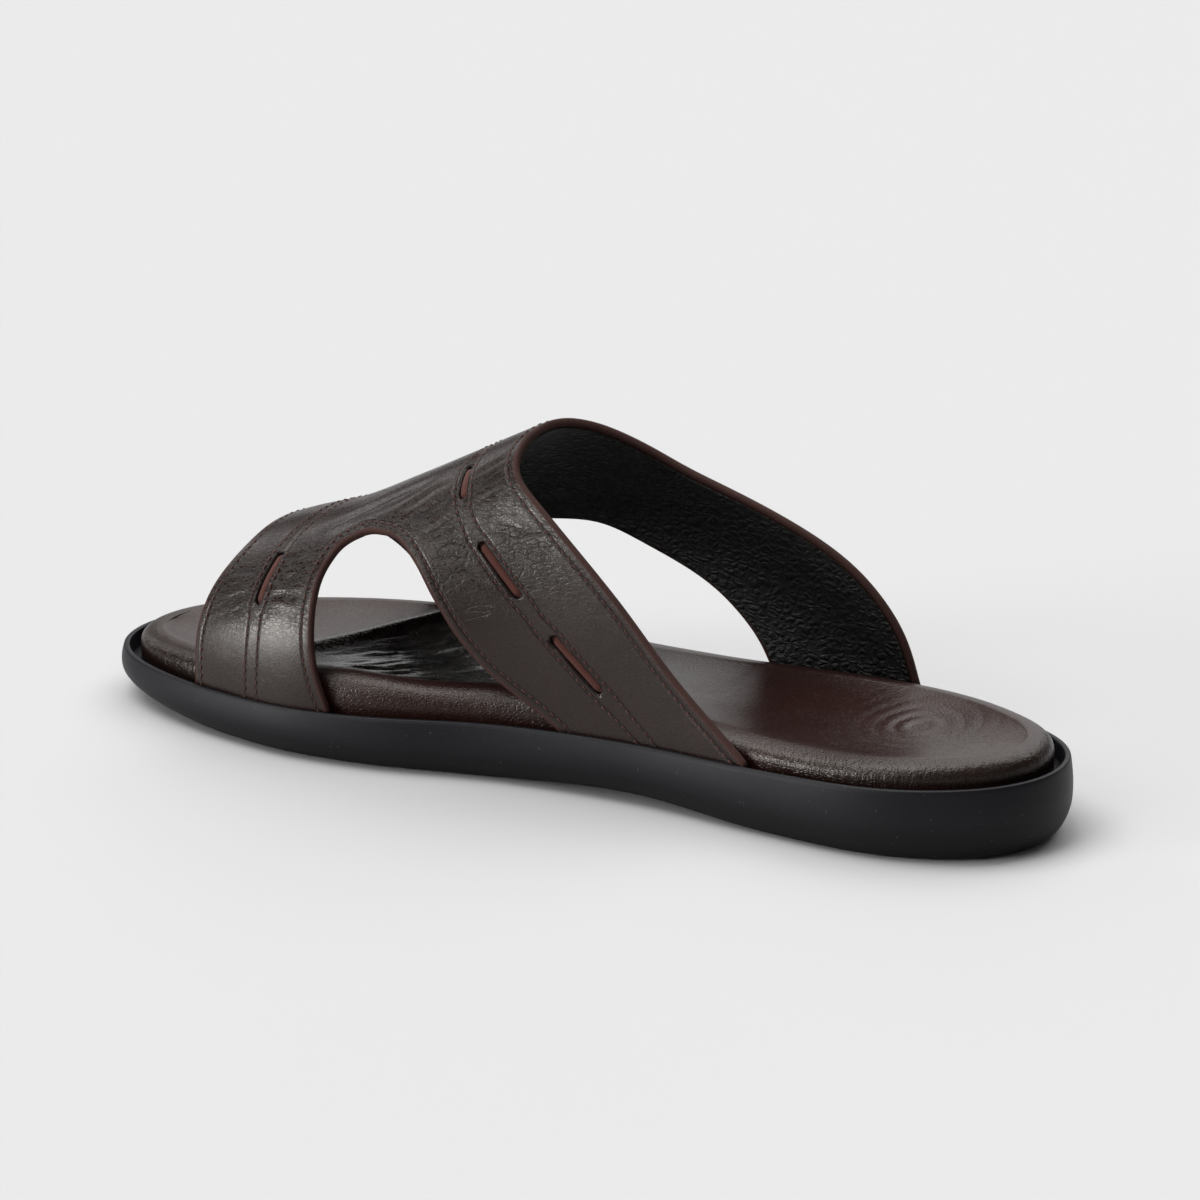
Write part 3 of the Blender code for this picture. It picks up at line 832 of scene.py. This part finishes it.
outerCut = easedTable(
    "down rear front",
    0.02,
    (0.00, 0.636, 0.636), (0.19, 0.600, 0.656), (0.30, 0.561, 0.664), (0.55, 0.491, 0.664),
    (0.75, 0.413, 0.652), (0.88, 0.376, 0.637), (1.00, 0.356, 0.618),
)
instepLine = easedTable(
    "around along",
    0.03,
    (-1.00, 0.375), (-0.92, 0.424), (-0.81, 0.477), (-0.63, 0.537), (-0.46, 0.574),
    (-0.27, 0.591), (0.00, 0.593), (0.22, 0.580), (0.40, 0.548), (0.60, 0.468), (0.70, 0.397),
    (0.82, 0.328), (1.00, 0.283),
)
frontLine = easedTable(
    "around along",
    0.03,
    (-1.00, 0.785), (-0.63, 0.786), (-0.37, 0.777), (0.00, 0.760), (0.35, 0.738), (0.70, 0.715),
    (1.00, 0.686),
)
slots = (
    ("front_inner", frontLine, -0.630, -0.365),
    ("front_outer", frontLine, 0.340, 0.590),
    ("instep_inner_1", instepLine, -0.920, -0.810),
    ("instep_inner_2", instepLine, -0.720, -0.550),
    ("instep_inner_3", instepLine, -0.370, -0.175),
    ("instep_outer_3", instepLine, 0.190, 0.340),
    ("instep_outer_2", instepLine, 0.480, 0.620),
    ("instep_outer_1", instepLine, 0.730, 0.850),
)


def lastPoint(along, around):
    # the upper's outer face; past -1 and 1 it goes down beside the footbed
    along, around = np.broadcast_arrays(np.asarray(along, float), np.asarray(around, float))
    y = shoe["length"] * (along - 0.5)
    inner, outer = (sideX(y, shoe["rimWall"] + shoe["gap"], side) for side in (-1, 1))
    angle = np.clip(around, -1, 1) * math.pi / 2
    top = np.maximum(np.cos(angle), 0.0)
    sidePower = np.where(around > 0, upper["outerSide"], upper["innerSide"])
    topPower = np.where(around > 0, upper["outerTop"], upper["innerTop"])
    spread = np.sign(around) * np.abs(np.sin(angle)) ** sidePower
    x = (inner + outer) / 2 + (outer - inner) / 2 * spread - upper["crestLean"] * top**2
    rise = shoe["instepHeight"] * read(crestRows, "height", along) - rimZ(y)
    tuck = np.maximum(np.abs(around) - 1, 0.0) * (shoe["recessDepth"] - shoe["gap"])
    return np.stack([x, y, rimZ(y) + rise * top**topPower - tuck], -1)


def lastNormal(along, around):
    step = 2e-3
    along, around = np.broadcast_arrays(np.asarray(along, float), np.asarray(around, float))
    low, high = around - step, around + step
    inside = np.abs(around) < 1
    low = np.where(inside, np.maximum(low, -1), np.where(around >= 1, around, low))
    high = np.where(inside, np.minimum(high, 1), np.where(around <= -1, around, high))
    sideways = lastPoint(along, high) - lastPoint(along, low)
    forward = lastPoint(along + step, around) - lastPoint(along - step, around)
    return unit(np.cross(sideways, forward))


def cutColumns(top, side):
    down = np.sin(np.linspace(0, math.pi / 2, upper["sideColumns"] + 1))
    shown = [(side * (top + (1 - top) * d * d), d) for d in down]
    return shown + [(side * past, 1.0) for past in (1.25, 1.5, 1.75, 2.0)]


def upperGrid():
    innerTop, outerTop = upper["innerCutTop"], upper["outerCutTop"]
    innerAlong, outerAlong = innerCut["rear"][0], outerCut["rear"][0]

    def besideCut(rows, places):
        return [(a, read(rows, "rear", d), read(rows, "front", d)) for a, d in places]

    columns = besideCut(innerCut, cutColumns(innerTop, -1)[::-1])
    for t in np.linspace(0, 1, upper["bridgeColumns"] + 1)[1:-1]:
        middle = innerAlong + (outerAlong - innerAlong) * t
        columns.append((-innerTop + (innerTop + outerTop) * t, middle, middle))
    columns += besideCut(outerCut, cutColumns(outerTop, 1))
    places, faces, lastRows = [], [], None
    for around, rearEnd, frontStart in columns:
        rear = np.linspace(read(rearEdge, "along", around), rearEnd, upper["rearRows"] + 1)
        front = np.linspace(frontStart, read(frontEdge, "along", around), upper["frontRows"] + 1)
        rows = [list(range(len(places), len(places) + len(rear)))]
        places += [(along, around) for along in rear]
        if rear[-1] == front[0]:
            rows.append([rows[0][-1], *range(len(places), len(places) + len(front) - 1)])
            places += [(along, around) for along in front[1:]]
        else:
            rows.append(list(range(len(places), len(places) + len(front))))
            places += [(along, around) for along in front]
        if lastRows:
            for a, b in zip(lastRows, rows):
                faces += [(a[k], b[k], b[k + 1], a[k + 1]) for k in range(len(b) - 1)]
        lastRows = rows
    edges = {(face[k - 1], face[k]) for face in faces for k in range(4)}
    following = {a: b for a, b in edges if (b, a) not in edges}
    return np.array(places), faces, following


stitch = {
    "pitch": 0.0025,
    "length": 0.0018,
    "thread": 0.00019,  # radius
    "lift": 0.00024,
    "fromEdge": 0.0021,
    "fromLine": 0.0021,
    "roundSlot": 0.0006,  # how much further from the line it runs beside a slot
}


def slotWidening(around, along):  # distance of the two seams from a strap's middle line
    onFront = along > (read(instepLine, "along", around) + read(frontLine, "along", around)) / 2
    beside = np.zeros(len(around))
    for _, rows, start, end in slots:
        near = smoothStep(start - 0.05, start, around) * (1 - smoothStep(end, end + 0.05, around))
        beside = np.maximum(beside, near * (onFront == (rows is frontLine)))
    return stitch["fromLine"] + stitch["roundSlot"] * beside


def nearest(points, others):  # which of the others is nearest to each point, and how far off
    found, which = np.empty(len(points)), np.empty(len(points), int)
    for start in range(0, len(points), 2000):
        block = slice(start, start + 2000)
        gaps = ((points[block, None] - others[None]) ** 2).sum(2)
        which[block] = gaps.argmin(1)
        found[block] = np.sqrt(gaps.min(1))
    return found, which


gridPlaces, gridFaces, gridBorder = upperGrid()
gridAlong, gridAround = gridPlaces.T
outerFace = lastPoint(gridAlong, gridAround)
outerNormal = lastNormal(gridAlong, gridAround)
borderLoop = np.array(list(gridBorder))
beforeBorder = {b: a for a, b in gridBorder.items()}
borderNext = np.array([gridBorder[i] for i in borderLoop])
borderBefore = np.array([beforeBorder[i] for i in borderLoop])
borderOut = unit(np.cross(outerFace[borderNext] - outerFace[borderBefore], outerNormal[borderLoop]))
shownBorder = borderLoop[np.abs(gridAround[borderLoop]) < 1.2]
toEdge, _ = nearest(outerFace, outerFace[shownBorder])


def fromStrapLine(rows):  # distance of the outer face's points from a strap's middle line
    around = np.linspace(-1, 1, 700)
    along = read(rows, "along", around)
    line, normal = lastPoint(along, around), lastNormal(along, around)
    across = np.cross(normal, unit(np.gradient(line, axis=0)))
    _, which = nearest(outerFace, line)
    return np.abs(((outerFace - line[which]) * across[which]).sum(1))


fromLine = np.minimum(fromStrapLine(instepLine), fromStrapLine(frontLine))
toLineSeam = fromLine - slotWidening(gridAround, gridAlong)
toEdgeSeam = toEdge - stitch["fromEdge"]
toSeam = np.where(np.abs(toLineSeam) < np.abs(toEdgeSeam), toLineSeam, toEdgeSeam)
aside = np.abs(gridAround)
milled = smoothStep(0.80, 0.62, aside) * (0.35 + 0.65 * smoothStep(0.22, 0.44, aside))
print("upper's surface laid out:", len(gridPlaces), "points")


# width and depth in millimetres, then places (around, along) in thousandths, on the inner side
creases = (
    (1.2, 0.30, (-376, 642), (-370, 625), (-352, 610), (-338, 596)),
    (1.1, 0.28, (-413, 633), (-406, 615), (-371, 599), (-359, 595)),
    (1.3, 0.30, (-327, 653), (-294, 635), (-262, 622), (-252, 603)),
    (2.0, 0.40, (-262, 702), (-258, 678), (-235, 661), (-205, 644), (-180, 627)),
    (1.1, 0.26, (-472, 621), (-463, 604), (-437, 592)),
    (1.2, 0.24, (-386, 650), (-384, 636), (-389, 624), (-381, 613)),
    (1.1, 0.24, (-503, 610), (-488, 596), (-482, 583)),
    (2.4, 0.45, (-300, 740), (-262, 722), (-232, 700), (-212, 672), (-192, 650)),
    (1.1, 0.26, (-463, 828), (-464, 807), (-479, 791)),
    (1.1, 0.28, (-562, 846), (-534, 824), (-517, 809), (-512, 797)),
    (1.1, 0.26, (-607, 846), (-602, 824), (-580, 810), (-575, 798)),
    (1.1, 0.28, (-639, 846), (-634, 822), (-607, 809), (-584, 800)),
    (1.2, 0.22, (-681, 842), (-674, 822), (-653, 806), (-637, 797)),
    (1.1, 0.24, (-595, 768), (-582, 755), (-605, 740)),
    (1.2, 0.30, (-527, 773), (-522, 757), (-496, 748), (-487, 731)),
    (1.1, 0.24, (-413, 771), (-420, 754), (-401, 741)),
    (1.1, 0.26, (-458, 761), (-463, 747), (-458, 731)),
    (1.1, 0.28, (-557, 767), (-545, 756), (-527, 746), (-523, 733)),
    (1.1, 0.26, (-608, 776), (-586, 763), (-604, 748), (-599, 733)),
    (1.1, 0.24, (-386, 608), (-363, 597), (-340, 590)),
    (1.1, 0.22, (-486, 600), (-476, 588), (-477, 578)),
    (1.1, 0.24, (-534, 596), (-530, 583), (-552, 571), (-574, 562)),
    (1.1, 0.22, (-626, 584), (-628, 567), (-655, 553), (-673, 541)),
    (1.1, 0.20, (-567, 594), (-575, 579), (-596, 565)),
    (1.0, 0.18, (-730, 564), (-725, 550), (-734, 535)),
    (1.0, 0.16, (-760, 566), (-757, 550), (-749, 538)),
    (1.1, 0.22, (-506, 541), (-525, 525), (-546, 512)),
    (1.1, 0.22, (-529, 549), (-538, 534), (-561, 520), (-577, 505)),
    (1.1, 0.20, (-549, 519), (-558, 502), (-558, 492)),
    (1.0, 0.14, (-691, 515), (-698, 501), (-701, 489)),
    (1.3, 0.26, (-369, 576), (-350, 563), (-343, 550), (-334, 540)),
    (1.1, 0.22, (-414, 567), (-395, 553), (-386, 540)),
    (1.3, 0.24, (-285, 582), (-261, 567), (-243, 555), (-207, 547)),
    (1.3, 0.24, (-340, 583), (-325, 567), (-298, 555), (-286, 543)),
)
reliefLook = {
    "share": 0.75,  # of every crease's depth
    "outerShare": 0.7,  # the outer side's creases are shallower
    "edgeGap": 0.0045,  # creases of the outer side keep this far from its edges
    "frontFrom": 0.71,  # creases from here on belong to the front strap
    "reach": 0.0014,  # how far a crease's crack is followed in the material
    "unit": 0.0003,  # depth of a crease whose crack is full
    "soft": 0.00022,
    "valley": 0.00035,  # along the inlay strips' line over the foot
    "valleyHalf": 0.0012,
}
farOff = 0.02  # a distance that counts as none


def alongRoute(points, normals, route):
    # signed distance from a route, and the place along it from 0 to 1
    best = np.full(len(points), 1.0)
    signed, place = best.copy(), np.zeros(len(points))
    for k, (start, end) in enumerate(zip(route, route[1:])):
        run = end - start
        t = np.clip((points - start) @ run / (run @ run), 0, 1)
        gap = points - start - t[:, None] * run
        away = np.linalg.norm(gap, axis=1)
        closer = away < best
        side = np.sign((np.cross(normals, run) * gap).sum(1))
        best = np.where(closer, away, best)
        signed = np.where(closer, away * side, signed)
        place = np.where(closer, (k + t) / (len(route) - 1), place)
    return signed, place


def makeRelief():
    look = reliefLook
    relief = np.zeros(len(outerFace))
    fromCrease, creaseDepth = np.full(len(outerFace), farOff), np.zeros(len(outerFace))
    for width, depth, *places in creases:
        width, depth = width / 1000, depth / 1000
        around, along = np.array(places).T / 1000
        rows = frontLine if along.mean() > look["frontFrom"] else instepLine
        dense = np.linspace(0, len(places) - 1, 4 * len(places))
        for side in (1, -1):  # 1 is the inner side, -1 its mirror image on the outer side
            shift = read(rows, "along", side * around) - read(rows, "along", around)
            routeAround = np.interp(dense, np.arange(len(places)), side * around)
            routeAlong = np.interp(dense, np.arange(len(places)), along + shift)
            route = lastPoint(routeAlong, routeAround)
            if side < 0 and nearest(route, outerFace[shownBorder])[0].min() < look["edgeGap"]:
                continue
            gap, place = alongRoute(outerFace, outerNormal, route)
            fade = np.sin(place * math.pi) ** 0.8 * (1.0 if side > 0 else look["outerShare"])
            ridges = 0.45 * bell(np.abs(gap) - 1.9 * width, width)
            relief += depth * look["share"] * fade * (ridges - bell(gap, width))
            closer = np.abs(gap) < np.abs(fromCrease)
            fromCrease = np.where(closer, gap, fromCrease)
            deep = fade * bell(gap, look["reach"]) * depth / look["unit"]
            creaseDepth = np.where(closer, deep, creaseDepth)
    x, y, z = outerFace.T
    relief += wavyNoise(x * 95, y * 48, z * 95) * look["soft"] * (0.25 + 0.75 * milled)
    valley = bell(fromLine, look["valleyHalf"]) * smoothStep(0.40, 0.34, aside)
    relief -= look["valley"] * valley
    return relief * smoothStep(0.0002, 0.0030, toEdge), fromCrease, creaseDepth


upperRelief, fromCrease, creaseDepth = makeRelief()
print("creases laid")


def shell(name, wall, materials, relief=0.0):
    # a closed wall between two depths under the outer face, with a rounded edge
    count = len(outerFace)
    top = outerFace + np.reshape(relief - wall["from"], (-1, 1)) * outerNormal
    bottom = outerFace - wall["to"] * outerNormal
    hidden = (aside[borderLoop] >= 2)[:, None]
    move = np.where(hidden, 0.0, -wall["inset"]) * borderOut
    top[borderLoop] += move
    bottom[borderLoop] += move
    points = [top, bottom]
    faces = [tuple(f) for f in gridFaces] + [tuple(count + i for i in f[::-1]) for f in gridFaces]
    edgeSlot, insideSlot = min(1, len(materials) - 1), len(materials) - 1
    which = [0] * len(gridFaces) + [insideSlot] * len(gridFaces)
    bulges = np.where(hidden, 0.0, wall["bulge"])
    middle = (top[borderLoop] + bottom[borderLoop]) / 2
    half = (top[borderLoop] - bottom[borderLoop]) / 2
    rounds = [borderLoop]
    for step in range(1, wall["edgeSteps"]):
        angle = math.pi * step / wall["edgeSteps"]
        shape = np.sign(math.cos(angle)) * abs(math.cos(angle)) ** 0.8
        points.append(middle + half * shape + bulges * abs(math.sin(angle)) ** 0.8 * borderOut)
        rounds.append(2 * count + (step - 1) * len(borderLoop) + np.arange(len(borderLoop)))
    rounds.append(borderLoop + count)
    order = {v: k for k, v in enumerate(borderLoop)}
    following = np.array([order[gridBorder[i]] for i in borderLoop])
    for near, under in zip(rounds, rounds[1:]):
        faces += np.stack([near[following], near, under, under[following]], 1).tolist()
        which += [edgeSlot] * len(near)
    return newPiece(name, np.concatenate(points), faces, materials, which)


slotLook = {
    "width": 0.0028,
    "depth": 0.0017,
    "above": 0.003,  # how far the cutter stands over the leather
    "stripWidth": 0.0023,
    "stripSink": 0.00060,
    "stripDome": 0.00032,
    "stripDip": 0.0022,  # length over which a strip's end dips into its slot
    "steps": 40,
}


def bar(rows, start, end, width):  # a round-ended bar along a line on the last
    around = np.linspace(start, end, 240)
    route = lastPoint(read(rows, "along", around), around)
    run = np.concatenate([[0.0], np.cumsum(np.linalg.norm(np.diff(route, axis=0), axis=1))])
    half, steps = width / 2, slotLook["steps"]
    turn = np.linspace(0, math.pi / 2, 9)
    straight = np.linspace(half, run[-1] - half, steps)[1:-1]
    first, last = half * (1 - np.cos(turn)), run[-1] - half * (1 - np.sin(turn))
    places = np.concatenate([first, straight, last])
    halves = half * np.concatenate([np.sin(turn), np.ones(steps - 2), np.cos(turn)])
    around = np.interp(places, run, around)
    along = read(rows, "along", around)
    centre, normal = lastPoint(along, around), lastNormal(along, around)
    across = unit(np.cross(normal, np.gradient(centre, axis=0)))
    ends = smoothStep(0.0, slotLook["stripDip"], np.minimum(places, run[-1] - places))
    return centre, normal, across, halves[:, None], ends


def cutterBar(rows, start, end):
    centre, normal, across, halves, _ = bar(rows, start, end, slotLook["width"])
    heights = (-slotLook["depth"], slotLook["above"])
    left = [centre + halves * across + h * normal for h in heights]
    right = [centre - halves * across + h * normal for h in heights]
    loops = [np.concatenate([a, b[-2:0:-1]]) for a, b in zip(left, right)]
    return np.concatenate(loops), len(loops[0])


def makeCutter(materials):
    points, faces = [], []
    for _, rows, start, end in slots:
        loop, count = cutterBar(rows, start, end)
        base = len(points)
        points += list(loop)
        faces += ringFaces(2, count, base)
        faces += [range(base + count - 1, base - 1, -1), range(base + count, base + 2 * count)]
    cutter = newPiece("slotCutter", points, faces, materials, np.zeros(len(faces)))
    cleaned(cutter.data)
    return cutter


def makeStrap():
    materials = [strapLeather, cutEdge, strapLeather]
    piece = shell("strapUpper", strapWall, materials, upperRelief)
    hidden = np.ones(len(piece.data.vertices) - len(outerFace))
    addValues(
        piece,
        toEdge=np.concatenate([toEdge, hidden * 0]),
        toSeam=np.concatenate([toSeam, hidden * farOff]),
        milled=np.concatenate([milled, hidden * 0.3]),
        fromCrease=np.concatenate([fromCrease, hidden * farOff]),
        creaseDepth=np.concatenate([creaseDepth, hidden * 0]),
    )
    cutter = makeCutter(materials)
    cut = piece.modifiers.new("slots", "BOOLEAN")
    cut.operation = "DIFFERENCE"
    cut.solver = "EXACT"
    cut.object = cutter
    applyModifiers(piece)
    bpy.data.objects.remove(cutter)
    finishPiece(piece, "strap_leather", "upper")


makeStrap()


def makeLiningPiece():
    finishPiece(shell("strapLining", liningWall, [liningLeather]), None)


makeLiningPiece()


def makeInlays():
    points, faces = [], []
    low = slotLook["depth"] - 0.0001  # just above the slot's floor
    for _, rows, start, end in slots:
        centre, normal, across, halves, ends = bar(rows, start, end, slotLook["stripWidth"])
        base = len(points)
        top = -slotLook["stripSink"] - (1 - ends) * (low - slotLook["stripSink"] - 0.00015)
        grid = []
        for p in np.linspace(-1, 1, 9):
            height = top - slotLook["stripDome"] * p * p
            grid.append(centre + halves * p * across + height[:, None] * normal)
        grid += [centre + halves * p * across - low * normal for p in (1, -1)]
        lines, count = len(grid), len(centre)
        points += [point for line in grid for point in line]
        for k in range(lines):
            near, far = base + k * count, base + (k + 1) % lines * count
            faces += [(near + c, near + c + 1, far + c + 1, far + c) for c in range(count - 1)]
    piece = newPiece("suedeInlays", points, faces, [rustSuede])
    cleaned(piece.data, 1e-6)
    finishPiece(piece, "inlay_suede", *["inlay_" + name for name, *_ in slots])


makeInlays()

# stitches


def makeStitchTree(material):
    group = bpy.data.node_groups.new("stitchRows", "GeometryNodeTree")
    face = group.interface
    face.new_socket("Geometry", in_out="INPUT", socket_type="NodeSocketGeometry")
    face.new_socket("Geometry", in_out="OUTPUT", socket_type="NodeSocketGeometry")
    sizes = {}
    for name in ("pitch", "length", "thread", "lift"):
        sizes[name] = face.new_socket(name, in_out="INPUT", socket_type="NodeSocketFloat")
        sizes[name].default_value = stitch[name]
    tree = Tree(group)

    def node(kind, inputs=None, **settings):
        return tree.add("GeometryNode" + kind, settings, inputs)

    entry = tree.nodes.new("NodeGroupInput")
    wire = {socket.name: Wire(tree, socket) for socket in entry.outputs if socket.name}
    path = node("MeshToCurve", {"Mesh": wire["Geometry"]})
    spaced = node("ResampleCurve", {"Curve": path, "Length": wire["pitch"]}, mode="LENGTH")
    away = node("InputNamedAttribute", {"Name": "away"}, data_type="FLOAT_VECTOR")
    axes = {"Primary Axis": away, "Secondary Axis": node("InputTangent")}
    kinds = {"primary_axis": "Z", "secondary_axis": "X"}
    turn = tree.add("FunctionNodeAxesToRotation", kinds, axes)
    # one stitch: an arc of thread whose ends go into the leather
    half, low = wire["length"] * 0.5, wire["thread"] * -1.6
    start = tree.add("ShaderNodeCombineXYZ", None, {"X": half * -1.0, "Z": low})
    middle = tree.add("ShaderNodeCombineXYZ", None, {"Z": wire["lift"] * 2.0})
    end = tree.add("ShaderNodeCombineXYZ", None, {"X": half, "Z": low})
    arcSizes = {"Resolution": 7, "Start": start, "Middle": middle, "End": end}
    arc = node("CurveQuadraticBezier", arcSizes)
    ring = node("CurvePrimitiveCircle", {"Resolution": 6, "Radius": wire["thread"]})
    thread = node("CurveToMesh", {"Curve": arc, "Profile Curve": ring, "Fill Caps": True})
    placed = node("InstanceOnPoints", {"Points": spaced, "Instance": thread, "Rotation": turn})
    smooth = node("SetShadeSmooth", {"Geometry": node("RealizeInstances", {"Geometry": placed})})
    dressed = node("SetMaterial", {"Geometry": smooth, "Material": material})
    leave = tree.nodes.new("NodeGroupOutput")
    tree.links.new(dressed.socket, leave.inputs[0])
    return group, sizes


def pathPiece(name, paths):
    mesh = bpy.data.meshes.new(name)
    points, edges, away = [], [], []
    for line, normal in paths:
        edges += [(len(points) + k, len(points) + k + 1) for k in range(len(line) - 1)]
        points += line.tolist()
        away += normal.tolist()
    mesh.from_pydata(points, edges, [])
    layer = mesh.attributes.new("away", "FLOAT_VECTOR", "POINT")
    layer.data.foreach_set("vector", np.array(away, np.float32).ravel())
    return addObject(name, mesh)


def applyNodes(piece, group, sizes):
    modifier = piece.modifiers.new("rows", "NODES")
    modifier.node_group = group
    for name, socket in sizes.items():
        modifier[socket.identifier] = stitch[name]
    piece.update_tag()
    bpy.context.view_layer.update()
    applyModifiers(piece)
    piece.data.name = piece.name


def edgePath(along, around, distance):  # a path on the last beside another one
    line, normal = lastPoint(along, around), lastNormal(along, around)
    across = unit(np.cross(normal, np.gradient(line, axis=0)))
    return line + distance * across, normal


def seamPaths():
    around = np.linspace(-1.0, 1.0, 900)
    inset = stitch["fromEdge"]
    paths = []
    for rows, distance in ((rearEdge, inset), (frontEdge, -inset)):
        paths.append(edgePath(read(rows, "along", around), around, distance))
    for rows in (instepLine, frontLine):
        along = read(rows, "along", around)
        for side in (-1, 1):
            paths.append(edgePath(along, around, side * slotWidening(around, along)[:, None]))
    cuts = ((innerCut, upper["innerCutTop"], -1), (outerCut, upper["outerCutTop"], 1))
    for rows, top, side in cuts:
        down = np.sin(np.linspace(-math.pi / 2, math.pi / 2, 700))
        rear, front = (read(rows, column, np.abs(down)) for column in ("rear", "front"))
        along = np.where(down < 0, rear, front)
        places = side * (top + (1 - top) * down**2)
        paths.append(edgePath(along, places, side * inset))
    return paths


def makeStitches():
    group, sizes = makeStitchTree(seamThread)
    piece = pathPiece("seamStitches", seamPaths())
    applyNodes(piece, group, sizes)
    finishPiece(piece, None)


makeStitches()

# camera, floor and lights

camera = {
    "place": (-1.04336, -0.56601, 0.42805),
    "target": (0.0026, -0.0011, 0.0418),
    "lens": 135.726,  # millimetres, on a sensor of the next size
    "sensor": 36.0,
    "clip": (0.05, 200.0),
}
floorLook = {
    "half": 60.0,
    "fixed": {"Base Color": linear(193, 193, 193), "Roughness": 0.9, "Specular IOR Level": 0.1},
}
worldStrength = 0.064
suns = (
    # name, where it comes from, angle in degrees, strength
    ("keyLight", (-0.15, 0.34, 0.93), 42, 2.35),
    ("topLight", (0.62, 0.0, 0.90), 60, 2.0),
    ("upperLight", (-0.74, 0.30, 0.56), 24, 0.55),
    ("frontLight", (-0.35, -0.55, 0.75), 40, 0.12),
    ("sideLight", (-0.72, 0.68, 0.10), 24, 2.4),
    ("rimLight", (0.34, 0.84, 0.40), 26, 0.30),
    ("backLight", (0.88, 0.40, 0.20), 32, 0.20),
)


def makeCamera():
    view = bpy.data.cameras.new("camera")
    view.lens, view.sensor_width = camera["lens"], camera["sensor"]
    view.clip_start, view.clip_end = camera["clip"]
    eye = addObject("camera", view)
    ahead = Vector(camera["target"]) - Vector(camera["place"])
    eye.location = camera["place"]
    eye.rotation_euler = ahead.to_track_quat("-Z", "Y").to_euler()
    bpy.context.scene.camera = eye


def makeLights():
    for name, source, angle, strength in suns:
        sun = bpy.data.lights.new(name, "SUN")
        sun.energy, sun.angle = strength, math.radians(angle)
        addObject(name, sun).rotation_euler = Vector(source).to_track_quat("Z", "Y").to_euler()
    world = bpy.data.worlds.new("studio")
    world.use_nodes = True
    back = world.node_tree.nodes["Background"]
    back.inputs["Color"].default_value = (1.0, 1.0, 1.0, 1.0)
    back.inputs["Strength"].default_value = worldStrength
    bpy.context.scene.world = world
    bpy.context.scene.view_settings.view_transform = "Standard"


def makeFloor():
    half = floorLook["half"]
    mesh = bpy.data.meshes.new("floor")
    corners = [(-half, -half, 0), (half, -half, 0), (half, half, 0), (-half, half, 0)]
    mesh.from_pydata(corners, [], [(0, 1, 2, 3)])
    mesh.materials.append(makeMaterial("floorPaper", floorLook))
    floor = addObject("floor", mesh)
    floor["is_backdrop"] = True


makeCamera()
makeLights()
makeFloor()
print("camera, lights and floor set")

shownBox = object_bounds()
boxes = {"solid": solidBox, "shown": shownBox}
{name: [list(corner) for corner in box] for name, box in boxes.items()}
